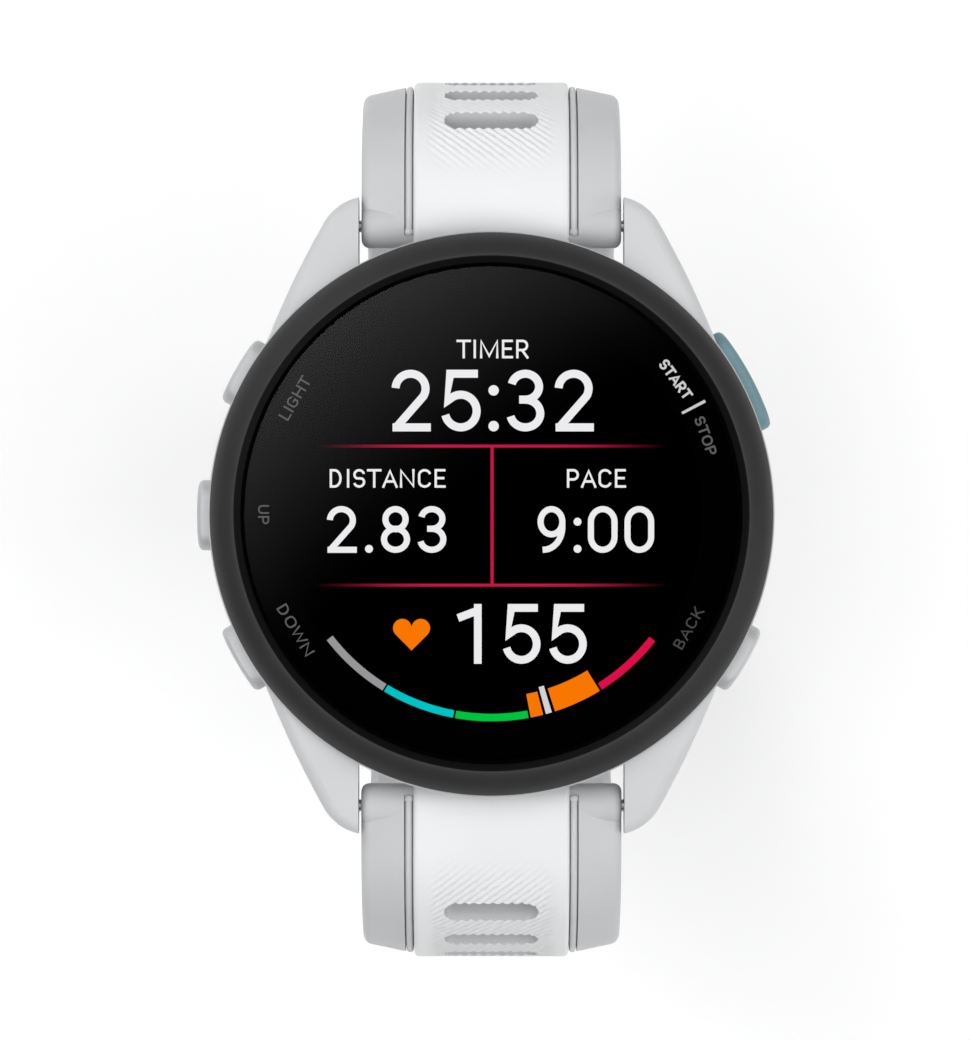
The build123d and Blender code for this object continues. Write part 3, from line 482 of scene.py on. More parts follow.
class Finishes(Enum):
    """Every finish of the watch, named for what it is made of and how."""

    CASE = Moulded("glass_filled_polyamide_light_grey", "c8c9ca", "c2c3c5", 0.48, 0.22, 0.005, 6.0)
    BEZEL = Moulded("glass_filled_polyamide_black", "28282a", "1f1f20", 0.58, 0.16, 0.010, 3.0, specular=0.3)
    # The bezel's own polyamide, painted near-black as shade for its inner step down to the glass.
    STEP_PAINTED_SHADE = Moulded(
        "glass_filled_polyamide_painted_shade_black", "060606", "040404", 0.6, 0.16, 0.004, 3.0, specular=0.12
    )
    BLACK_PLASTIC = Moulded("abs_black_matte", "161617", "0f0f10", 0.5)
    SCREEN = Moulded("screen_black_polariser", "020203", "010101", 0.3, 0.4, 0.0, 9.0, specular=0.0)
    GREY_SILICONE = Moulded("liquid_silicone_grey", "c1c2c4", "bbbcbe", 0.62, 0.18, 0.004, 4.0, 1.41, 0.12)
    WHITE_SILICONE = Moulded("liquid_silicone_white", "e1e2e3", "dddedf", 0.6, 0.16, 0.004, 4.0, 1.41, 0.12)
    BEAD_SILICONE = Moulded("liquid_silicone_mid_grey", "c6c7c9", "bfc0c2", 0.6, 0.16, 0.003, 4.0, 1.41, 0.1)
    STEEL = Brushed("stainless_steel_brushed", "b9babc", "9c9ea1", 0.28)
    PALE_STEEL = Brushed("anodised_aluminium_silver", "c4c5c7", "b6b8ba", 0.5, 0.3)
    BLUE_STEEL = Brushed("anodised_aluminium_slate_blue", "76979f", "678992", 0.55, 0.2)
    RUBBER = Moulded("nitrile_rubber_black", "141414", "0d0d0d", 0.55, 0.15, 0.004)
    BOARD = Moulded("solder_mask_green", "14502c", "0e4224", 0.35, 0.5, 0.004, 1.2, coat=0.3)
    GOLD = Brushed("gold_plated_brass", "e2b65a", "cf9f42", 0.22)
    COPPER = Brushed("polyimide_copper_foil", "b8743f", "a3612f", 0.4, 0.6)
    FOIL = Brushed("aluminium_foil_pouch", "c3c5c8", "aeb1b5", 0.35)
    FOAM = Moulded("closed_cell_foam_black", "232325", "161618", 0.8, 0.5, 0.05, 1.0)
    SENSOR_GLASS = Glass("smoked_mineral_glass", "3a3a3e", 0.0, 0.9)
    LENS = Glass("strengthened_glass")
    LED = Moulded("clear_epoxy_pale_green", "cfeecb", "bfe4ba", 0.15, 0.5, 0.0, 2.0)
    INK_BLACK = Moulded("screen_print_black", "030303", "020202", 0.5, 0.3, 0.001, 8.0, specular=0.0)
    WHITE = Glow("lit_pixels_white", "f2f2f4", 1.0)
    RED = Glow("lit_pixels_crimson", "c8174a", 1.0)
    FADING_RED = Glow("lit_pixels_fading_crimson", "c8174a", 1.0, fade_mm=(3.5, 13.6))
    PINK = Glow("lit_pixels_rose", "e0104a", 1.0)
    ORANGE = Glow("lit_pixels_orange", "ff7a00", 1.0)
    CYAN = Glow("lit_pixels_cyan", "00c8c8", 1.0)
    GREEN = Glow("lit_pixels_green", "00c840", 1.0)
    GREY = Glow("lit_pixels_grey", "9a9a9c", 1.0)
    MARKER = Glow("lit_pixels_pale", "d8d8da", 1.0)
    # Printed ink made to glow: its colour is emitted as painted light, not lit by the lamps.
    DIM_INK_PAINTED_GLOW = Glow("pad_printed_ink_grey_painted_glow", "5e5e60", 1.0, 0.4)
    FAINT_INK_PAINTED_GLOW = Glow("pad_printed_ink_dark_grey_painted_glow", "48484a", 1.0, 0.4)
    PALE_INK_PAINTED_GLOW = Glow("pad_printed_ink_white_painted_glow", "cfcfd1", 1.0, 0.4)

    @property
    def material(self) -> bpy.types.Material:
        """The material of this finish, made the first time it is asked for."""
        return bpy.data.materials.get(self.value.name) or self.value.make()


SLOT_FINISH = {
    "case_polymer": Finishes.CASE,
    "bezel_polymer": Finishes.BEZEL,
    "lens_glass": Finishes.LENS,
    "display_face": Finishes.SCREEN,
    "black_plastic": Finishes.BLACK_PLASTIC,
    "silicone_white": Finishes.WHITE_SILICONE,
    "silicone_grey": Finishes.GREY_SILICONE,
    "brushed_metal": Finishes.STEEL,
    "button_steel": Finishes.BLUE_STEEL,
    "button_pale": Finishes.PALE_STEEL,
    "seal_rubber": Finishes.RUBBER,
    "circuit_board": Finishes.BOARD,
    "gold_contact": Finishes.GOLD,
    "copper_foil": Finishes.COPPER,
    "battery_foil": Finishes.FOIL,
    "window_glass": Finishes.SENSOR_GLASS,
    "led_body": Finishes.LED,
    "foam": Finishes.FOAM,
}


def dress_frame(frame: dict) -> None:
    """Gives every carried-over CAD node the finish of its slot in the record.
    """
    for row in frame["record"]["subparts"]:
        node = frame["nodes"][row["node"]]
        node.data.materials.clear()
        node.data.materials.append(SLOT_FINISH[row["material_slot"]].material)


# ================================================================ strap
@dataclass
class StrapLine:
    """Outer line of one strap half, from over its spring bar: a run, then bends.

    Distances along it are in millimetres. Below zero it wraps round the barrel.
    """

    side: int
    bends: tuple[tuple[float, float], ...]
    bar_y: float = 22.3
    bar_z: float = 4.2
    root_radius: float = 2.1
    root_run: float = 2.2

    @property
    def length(self) -> float:
        """Length of the run and the bends."""
        return self.root_run + sum(radius * math.radians(turn) for radius, turn in self.bends)

    def at(self, distance: float) -> tuple[Vector, Vector, Vector]:
        """Finds a place on the line.

        Args:
            distance: along the line.

        Returns:
            The point, the direction along the strap and the direction out of it.
        """
        if distance < 0:
            angle = distance / self.root_radius
            y = self.bar_y + self.root_radius * math.sin(angle)
            z = self.bar_z + self.root_radius * math.cos(angle)
            return self._turned(y, z, angle)
        y, z, angle = self.bar_y, self.bar_z + self.root_radius, 0.0
        step = min(distance, self.root_run)
        y += step
        left = distance - step
        for radius, turn in self.bends:
            if left <= 0:
                break
            part = min(left / radius, math.radians(turn))
            y += radius * (math.sin(angle + part) - math.sin(angle))
            z -= radius * (math.cos(angle) - math.cos(angle + part))
            angle += part
            left -= part * radius
        return self._turned(y, z, angle)

    def _turned(self, y: float, z: float, angle: float) -> tuple[Vector, Vector, Vector]:
        """Puts a point and its slope on this line's side.

        Args:
            y: how far out from the watch's middle it lies.
            z: its height.
            angle: how steeply the line falls there, in radians.

        Returns:
            The point, the direction along the strap and the direction out of it.
        """
        along = Vector((0, self.side * math.cos(angle), -math.sin(angle)))
        out = Vector((0, self.side * math.sin(angle), math.cos(angle)))
        return Vector((0, self.side * y, z)), along, out


@dataclass
class StrapPanel:
    """The white centre panel of a strap half: a slotted strip with slanting ribs."""

    name: str
    body: str
    node: str
    line: StrapLine
    slots: int
    half_width: float = 6.0
    thickness: float = 0.9
    wrap: float = 60.0
    corner: float = 0.35
    end_corner: float = 4.0
    first_slot: float = 9.2
    slot_pitch: float = 4.5
    slot_length: float = 7.3
    slot_height: float = 2.1
    rib_pitch: float = 0.73
    rib_height: float = 0.2
    rib_start: float = 3.0
    cell: float = 0.15
    cut_reach: float = 2.5  # of the slot cutters, above and below the face
    sharp_turn: float = 40.0  # degrees between faces that keep a hard edge

    def stations(self) -> list[float]:
        """Finds where the cross-sections lie, closer together round the end's corners.

        Returns:
            Their distances along the line.
        """
        first = -self.line.root_radius * math.radians(self.wrap)
        last = self.line.length - self.end_corner
        count = round((last - first) / self.cell)
        even = [first + (last - first) * i / count for i in range(count)]
        turns = 28
        ends = [last + self.end_corner * math.sin(math.pi / 2 * i / turns) for i in range(turns + 1)]
        return even + ends

    def half_at(self, distance: float) -> float:
        """Finds half the panel's width, which shrinks round the end's corners.

        Args:
            distance: along the line.

        Returns:
            Half of the width there.
        """
        into = max(0.0, distance - (self.line.length - self.end_corner))
        inner = self.half_width - self.end_corner
        return inner + math.sqrt(max(0.0, self.end_corner**2 - into**2))

    def section(self, half: float) -> Round:
        """Closed cross-section as (across, height) points, seen along the strap.

        Args:
            half: half of the width here.

        Returns:
            The points, first those of the top from one side to the other.
        """
        corner = self.corner
        columns = round(2 * (self.half_width - corner) / self.cell)
        bends = 4
        top = []
        for i in range(bends):
            a = math.pi / 2 * i / bends
            top.append((-half + corner * (1 - math.cos(a)), -corner * (1 - math.sin(a))))
        flat = [(-(half - corner) + 2 * (half - corner) * i / columns, 0.0) for i in range(columns + 1)]
        right = [(-x, n) for x, n in reversed(top)]
        return top + flat + right + [(half, -self.thickness), (-half, -self.thickness)]

    def build(self) -> bpy.types.Object:
        """Makes the ribbed panel, cuts its slots and rides it on the strap.

        Returns:
            The finished panel.
        """
        points, faces, distances, across = [], [], [], []
        stations = self.stations()
        for distance in stations:
            place, _, out = self.line.at(distance)
            for x, height in self.section(self.half_at(distance)):
                points.append(place + out * height + Vector((x, 0, 0)))
                distances.append(distance if height > -self.corner * 0.5 else -100.0)
                across.append(x)
        ring = len(points) // len(stations)
        for i in range(len(stations) - 1):
            for j in range(ring):
                a, b = i * ring + j, i * ring + (j + 1) % ring
                quad = (a, b, b + ring, a + ring)
                faces.append(quad if self.line.side < 0 else quad[::-1])
        start, end = tuple(range(ring)), tuple(range(len(points) - ring, len(points)))
        faces.append(start[::-1] if self.line.side < 0 else start)
        faces.append(end if self.line.side < 0 else end[::-1])
        panel = put_mesh(self.name, points, faces, Finishes.WHITE_SILICONE.material)
        outward = [v for d in stations for _ in range(ring) for v in self.line.at(d)[2]]
        for label, kind, part, values in (
            ("along", "FLOAT", "value", distances),
            ("across", "FLOAT", "value", across),
            ("outward", "FLOAT_VECTOR", "vector", outward),
        ):
            panel.data.attributes.new(label, kind, "POINT").data.foreach_set(part, values)
        modifier = panel.modifiers.new("ribs", "NODES")
        modifier.node_group = rib_tree()
        set_input(modifier, "Pitch", self.rib_pitch)
        set_input(modifier, "Height", self.rib_height * MM)
        set_input(modifier, "Start", self.rib_start)
        set_input(modifier, "Finish", Finishes.WHITE_SILICONE.material)
        make_plain(panel)
        cutter = self.slot_cutter()
        cut = panel.modifiers.new("slots", "BOOLEAN")
        cut.operation = "DIFFERENCE"
        cut.solver = "MANIFOLD"
        cut.object = cutter
        cut.material_mode = "TRANSFER"
        make_plain(panel)
        bpy.data.objects.remove(cutter)
        panel.data.shade_smooth()
        panel.data.set_sharp_from_angle(angle=math.radians(self.sharp_turn))
        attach(panel, self.body)
        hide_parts(self.node)
        LOG.info("panel %s: %d slots", self.name, self.slots)
        return panel

    def slot_cutter(self) -> bpy.types.Object:
        """Makes the row of stadium-shaped cutters.

        Returns:
            All of them as one object.
        """
        points, faces = [], []
        radius = self.slot_height / 2
        reach = self.slot_length / 2 - radius
        turns = 12
        outline = []
        for end in (1, -1):
            for i in range(turns + 1):
                a = -math.pi / 2 + math.pi * i / turns
                outline.append((end * (reach + radius * math.cos(a)), end * radius * math.sin(a)))
        for k in range(self.slots):
            place, along, out = self.line.at(self.first_slot + k * self.slot_pitch)
            base = len(points)
            for level in (-self.cut_reach, self.cut_reach):
                points += [place + Vector((x, 0, 0)) + along * y + out * level for x, y in outline]
            n = len(outline)
            flip = self.line.side > 0
            for i in range(n):
                quad = (base + i, base + (i + 1) % n, base + n + (i + 1) % n, base + n + i)
                faces.append(quad if flip else quad[::-1])
            low, high = tuple(range(base, base + n)), tuple(range(base + n, base + 2 * n))
            faces.append(low[::-1] if flip else low)
            faces.append(high if flip else high[::-1])
        return put_mesh(self.name + "_cutter", points, faces, Finishes.GREY_SILICONE.material, False)


def rib_tree() -> bpy.types.NodeTree:
    """Builds the node tree that raises slanting ribs on a panel's top.

    Returns:
        The tree, made once. Inputs: Pitch, Height, Start, Width, Finish.
    """
    known = bpy.data.node_groups.get("slanting_ribs")
    if known:
        return known
    fade_in, fade_out = 3.4, 1.2
    tree, source = start_tree(
        "slanting_ribs",
        {"Pitch": 0.73, "Height": 0.0001, "Start": 3.6, "Width": 4.3, "Spread": 1.0, "Slant": 1.15},
    )

    def math_node(operation: str, *values: object) -> bpy.types.NodeSocket:
        """Adds a Math node and returns its result."""
        made = add_node(tree, "ShaderNodeMath", dict(enumerate(values)), operation=operation)
        return made.outputs[0]

    def named(name: str, kind: str) -> bpy.types.NodeSocket:
        """Reads a named attribute of the panel."""
        made = add_node(tree, "GeometryNodeInputNamedAttribute", {"Name": name}, data_type=kind)
        return made.outputs["Attribute"]

    along, across = named("along", "FLOAT"), named("across", "FLOAT")
    # A rib runs down to the right; its crest is round and its valley is a sharp line.
    slanted = math_node("ADD", across, math_node("MULTIPLY", along, source["Slant"]))
    phase = math_node("DIVIDE", slanted, source["Pitch"])
    crest = math_node("ABSOLUTE", math_node("SINE", math_node("MULTIPLY", phase, math.pi)))
    # The ribs fade in after their start, and fade out towards both edges.
    rise = add_node(
        tree, "ShaderNodeMapRange",
        {"Value": along, "From Min": source["Start"], "From Max": math_node("ADD", source["Start"], fade_in)},
        interpolation_type="SMOOTHSTEP",
    ).outputs["Result"]
    edge = math_node("ADD", source["Width"], math_node("MULTIPLY", rise, source["Spread"]))
    inside = add_node(
        tree, "ShaderNodeMapRange",
        {"Value": math_node("ABSOLUTE", across), "From Min": math_node("SUBTRACT", edge, fade_out),
         "From Max": edge, "To Min": 1.0, "To Max": 0.0},
        interpolation_type="SMOOTHSTEP",
    ).outputs["Result"]
    level = math_node("SUBTRACT", crest, 1.0)
    faded = math_node("MULTIPLY", level, math_node("MULTIPLY", rise, inside))
    depth = math_node("MULTIPLY", faded, source["Height"])
    offset = add_node(
        tree, "ShaderNodeVectorMath", {0: named("outward", "FLOAT_VECTOR"), "Scale": depth}, operation="SCALE"
    ).outputs["Vector"]
    moved = add_node(tree, "GeometryNodeSetPosition", {"Geometry": source["Geometry"], "Offset": offset})
    end_tree(tree, moved.outputs["Geometry"], source["Finish"])
    return tree


@dataclass
class GrooveBeads:
    """The thin raised bead that lies in each groove beside a panel, ending in a small nub."""

    name: str
    body: str
    line: StrapLine
    across: float = 6.35
    depth: float = 0.58
    radius: float = 0.26
    nub_radius: float = 0.36
    wrap: float = 20.0

    def build(self) -> None:
        """Sweeps both beads with one node tree and rides them on the strap."""
        points, edges = [], []
        first = -self.line.root_radius * math.radians(self.wrap)
        last = self.line.length - 3.0
        count = round((last - first) / 0.4)
        for side in (1, -1):
            base = len(points)
            for i in range(count + 1):
                place, _, out = self.line.at(first + (last - first) * i / count)
                points.append((place - out * self.depth + Vector((side * self.across, 0, 0))) * MM)
                if i:
                    edges.append((base + i - 1, base + i))
        mesh = bpy.data.meshes.new(self.name)
        mesh.from_pydata(points, edges, [])
        beads = bpy.data.objects.new(self.name, mesh)
        bpy.context.scene.collection.objects.link(beads)
        modifier = beads.modifiers.new("beads", "NODES")
        modifier.node_group = bead_tree()
        set_input(modifier, "Radius", self.radius * MM)
        set_input(modifier, "Nub radius", self.nub_radius * MM)
        set_input(modifier, "Finish", Finishes.BEAD_SILICONE.material)
        make_plain(beads)
        beads.data.shade_smooth()
        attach(beads, self.body)
        LOG.info("beads %s", self.name)


def bead_tree() -> bpy.types.NodeTree:
    """Builds the node tree that sweeps a round bead along edges and puts a nub at each start.

    Returns:
        The tree, made once. Inputs: Radius, Nub radius, Finish.
    """
    known = bpy.data.node_groups.get("groove_beads")
    if known:
        return known
    tree, source = start_tree("groove_beads", {"Radius": 0.00026, "Nub radius": 0.00036})
    curve = add_node(tree, "GeometryNodeMeshToCurve", {"Mesh": source["Geometry"]}).outputs["Curve"]
    profile = add_node(
        tree, "GeometryNodeCurvePrimitiveCircle", {"Resolution": 12, "Radius": source["Radius"]}
    )
    tube = add_node(
        tree, "GeometryNodeCurveToMesh",
        {"Curve": curve, "Profile Curve": profile.outputs["Curve"], "Fill Caps": True},
    )
    ball = add_node(
        tree, "GeometryNodeMeshUVSphere", {"Segments": 16, "Rings": 10, "Radius": source["Nub radius"]}
    )
    starts = add_node(tree, "GeometryNodeCurveEndpointSelection", {"Start Size": 1, "End Size": 0})
    nubs = add_node(
        tree, "GeometryNodeInstanceOnPoints",
        {"Points": curve, "Selection": starts.outputs["Selection"], "Instance": ball.outputs["Mesh"]},
    )
    both = add_node(tree, "GeometryNodeJoinGeometry")
    tree.links.new(tube.outputs["Mesh"], both.inputs[0])
    tree.links.new(nubs.outputs["Instances"], both.inputs[0])
    end_tree(tree, both.outputs["Geometry"], source["Finish"])
    return tree


# ================================================================ screen and printed ring
class StrokeFont:
    """A plain sans drawn as strokes of even width, in cells one capital high.

    A glyph is its cell width and its strokes. A stroke's items are points (x, y), arcs
    (centre x, centre y, radius x, radius y, first angle, last angle) or a dot (x, y, radius).
    A stroke that starts with "ring" is closed.
    """

    STEM = [(0.16, 0), (0.16, 1)]
    BOWL = [(0.16, 0.935), (0.45, 0.935), (0.45, 0.69, 0.245, 0.245, 90, -90), (0.16, 0.445)]
    GLYPHS = {
        "0": (0.79, [["ring", (0.395, 0.66, 0.255, 0.275, 0, 180), (0.395, 0.34, 0.255, 0.275, 180, 360)]]),
        "1": (0.79, [[(0.106, 0.765), (0.47, 0.9)], [(0.445, 0), (0.445, 1)]]),
        "2": (0.79, [[(0.37, 0.695, 0.245, 0.24, 178, -32), (0.14, 0.07)], [(0.075, 0.065), (0.7, 0.065)]]),
        "3": (0.79, [
            [(0.37, 0.725, 0.225, 0.21, 168, -90), (0.27, 0.515)],
            [(0.27, 0.515), (0.37, 0.29, 0.245, 0.225, 90, -168)],
        ]),
        "5": (0.79, [[(0.68, 0.935), (0.225, 0.935), (0.172, 0.475), (0.4, 0.33, 0.26, 0.265, 130, -166)]]),
        "8": (0.79, [
            ["ring", (0.385, 0.72, 0.215, 0.215, 0, 360)],
            ["ring", (0.385, 0.29, 0.245, 0.225, 0, 360)],
        ]),
        "9": (0.79, [
            ["ring", (0.375, 0.665, 0.235, 0.27, 0, 360)],
            [(0.61, 0.7), (0.2, 0.55, 0.41, 0.485, 0, -92)],
        ]),
        ":": (0.295, [[(0.147, 0.665, 0.085)], [(0.147, 0.085, 0.085)]]),
        ".": (0.35, [[(0.17, 0.085, 0.085)]]),
        "A": (0.9, [[(0.065, 0), (0.45, 0.9), (0.835, 0)], [(0.2, 0.335), (0.7, 0.335)]]),
        "B": (0.87, [
            STEM,
            [(0.16, 0.935), (0.42, 0.935), (0.42, 0.725, 0.2, 0.21, 90, -90), (0.16, 0.515)],
            [(0.42, 0.515), (0.45, 0.29, 0.225, 0.225, 90, -90), (0.16, 0.065)],
        ]),
        "C": (0.91, [[(0.46, 0.68, 0.3, 0.255, 12, 180), (0.46, 0.32, 0.3, 0.255, 180, 348)]]),
        "D": (0.92, [["ring", (0.16, 0.065), (0.16, 0.935), (0.36, 0.5, 0.33, 0.435, 90, -90)]]),
        "E": (0.79, [
            [(0.7, 0.935), (0.16, 0.935), (0.16, 0.065), (0.71, 0.065)],
            [(0.16, 0.515), (0.64, 0.515)],
        ]),
        "G": (0.95, [[
            (0.47, 0.68, 0.31, 0.255, 15, 180), (0.47, 0.32, 0.31, 0.255, 180, 325),
            (0.76, 0.46), (0.48, 0.46),
        ]]),
        "H": (1.0, [STEM, [(0.84, 0), (0.84, 1)], [(0.16, 0.515), (0.84, 0.515)]]),
        "I": (0.38, [[(0.19, 0), (0.19, 1)]]),
        "K": (0.88, [STEM, [(0.76, 1), (0.2, 0.38)], [(0.35, 0.56), (0.8, 0)]]),
        "L": (0.76, [[(0.16, 1), (0.16, 0.065), (0.7, 0.065)]]),
        "M": (1.22, [[(0.165, 0), (0.165, 0.93), (0.61, 0.12), (1.055, 0.93), (1.055, 0)]]),
        "N": (1.0, [[(0.16, 0), (0.16, 0.92), (0.84, 0.08), (0.84, 1)]]),
        "O": (0.96, [["ring", (0.48, 0.62, 0.335, 0.315, 0, 180), (0.48, 0.38, 0.335, 0.315, 180, 360)]]),
        "P": (0.85, [STEM, BOWL]),
        "R": (0.87, [STEM, BOWL, [(0.42, 0.44), (0.75, 0)]]),
        "S": (0.83, [[(0.42, 0.7, 0.26, 0.235, 10, 235), (0.42, 0.3, 0.27, 0.235, 55, -168)]]),
        "T": (0.84, [[(0.02, 0.935), (0.82, 0.935)], [(0.42, 0), (0.42, 0.935)]]),
        "U": (0.91, [[(0.16, 1), (0.455, 0.36, 0.295, 0.295, 180, 360), (0.75, 1)]]),
        "W": (1.24, [[(0.06, 1), (0.34, 0.1), (0.62, 0.88), (0.9, 0.1), (1.18, 1)]]),
    }

    @staticmethod
    def trace(stroke: list, shift: float) -> list[Vector]:
        """Follows a stroke's items as points.

        Args:
            stroke: its items, without "ring".
            shift: how far right the glyph's cell lies.

        Returns:
            The points of its middle line.
        """
        points = []
        for item in stroke:
            if len(item) == 2:
                points.append(Vector((item[0] + shift, item[1])))
                continue
            x, y, rx, ry, first, last = item
            steps = max(4, round(abs(last - first) / 9))
            for i in range(steps + 1):
                a = math.radians(first + (last - first) * i / steps)
                points.append(Vector((x + shift + rx * math.cos(a), y + ry * math.sin(a))))
        return [p for p, q in zip(points, points[1:] + points[:1]) if (p - q).length > 1e-6]

    def outlines(self, words: str, weight: float) -> list[Round]:
        """Draws words as small flat outlines, all anticlockwise.

        Args:
            words: what to write.
            weight: stroke width, as a share of the capital height.

        Returns:
            The outlines, in capital heights.
        """
        drawn, shift = [], 0.0
        for letter in words:
            width, strokes = self.GLYPHS[letter]
            for stroke in strokes:
                if len(stroke[0]) == 3:
                    x, y, radius = stroke[0]
                    turns = [2 * math.pi * i / 20 for i in range(20)]
                    dot = [(x + shift + radius * math.cos(a), y + radius * math.sin(a)) for a in turns]
                    drawn.append(dot)
                    continue
                closed = stroke[0] == "ring"
                middle = self.trace(stroke[1:] if closed else stroke, shift)
                drawn += self.ribbon(middle, weight / 2, closed)
            shift += width
        return drawn

    @staticmethod
    def ribbon(middle: list[Vector], half: float, closed: bool) -> list[Round]:
        """Widens a line into four-sided outlines that share their corners.

        Args:
            middle: the line's points.
            half: half of its width.
            closed: whether its end meets its start.

        Returns:
            One outline for each stretch.
        """
        count = len(middle)
        sides = []
        for i, point in enumerate(middle):
            before = middle[i - 1] if i or closed else point
            after = middle[(i + 1) % count] if i < count - 1 or closed else point
            ways = [w.normalized() for w in (point - before, after - point) if w.length > 1e-9]
            mean = sum(ways, Vector((0, 0))).normalized()
            reach = min(half / max(mean.dot(ways[0]), 0.1), half * 1.6)
            side = Vector((-mean.y, mean.x)) * reach
            sides.append((point + side, point - side))
        ends = sides[1:] + sides[:1] if closed else sides[1:]
        quads = [(a[1], b[1], b[0], a[0]) for a, b in zip(sides, ends)]
        return [[(p.x, p.y) for p in quad] for quad in quads]


@dataclass
class CoverGlass:
    """The flat cover glass: polished faces, and a small bevel and edge that are blackened."""

    radius: float = 18.99
    low: float = 10.25
    high: float = 11.25
    bevel: float = 0.2

    def build(self) -> None:
        """Makes the glass in place of its CAD node."""
        wall, face = (self.radius, self.high - self.bevel), (self.radius - self.bevel, self.high)
        edge = bend(wall, (self.radius, self.high), face, 5)
        second_finish_spans = set(range(len(edge)))
        finishes = (Finishes.LENS, Finishes.INK_BLACK)
        glass = turn_round("cover_glass", [(self.radius, self.low)] + edge, second_finish_spans, finishes, False)
        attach(glass, "case")
        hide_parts("cover_lens")


@dataclass
class BezelRing:
    """The charcoal bezel: a domed, finely grained face and a step down to the glass that is painted
    near-black as shade.
    """

    outer: float = 21.5
    seat: float = 9.0
    side: float = 9.7
    top: float = 11.6
    top_radius: float = 19.65
    bore: float = 19.1
    step: float = 11.17
    ledge: float = 10.1
    lip_bore: float = 16.5
    lip_radius: float = 17.1
    lip_low: float = 8.2

    def build(self) -> None:
        """Makes the ring in place of its CAD node."""
        crown = (self.top_radius + 0.186, self.top - 0.074)
        inner_rim = (self.top_radius - 0.155, self.top - 0.127)
        face = bend((self.outer, self.side), (self.outer - 0.447, self.top - 0.557), crown, 14)
        rim = bend(crown, (self.top_radius, self.top), inner_rim, 5)
        inside = [
            (self.bore, self.step), (self.bore, self.ledge), (self.lip_bore, self.ledge),
            (self.lip_bore, self.lip_low), (self.lip_radius, self.lip_low), (self.lip_radius, self.seat),
        ]
        profile = [(self.outer, self.seat)] + face + rim[1:] + inside
        # The rim's inner edge and the step down to the glass get the painted shade finish.
        dark = set(range(len(face) + 3, len(face) + 8))
        bezel = turn_round("bezel_ring", profile, dark, (Finishes.BEZEL, Finishes.STEP_PAINTED_SHADE), True)
        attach(bezel, "case")
        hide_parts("bezel")


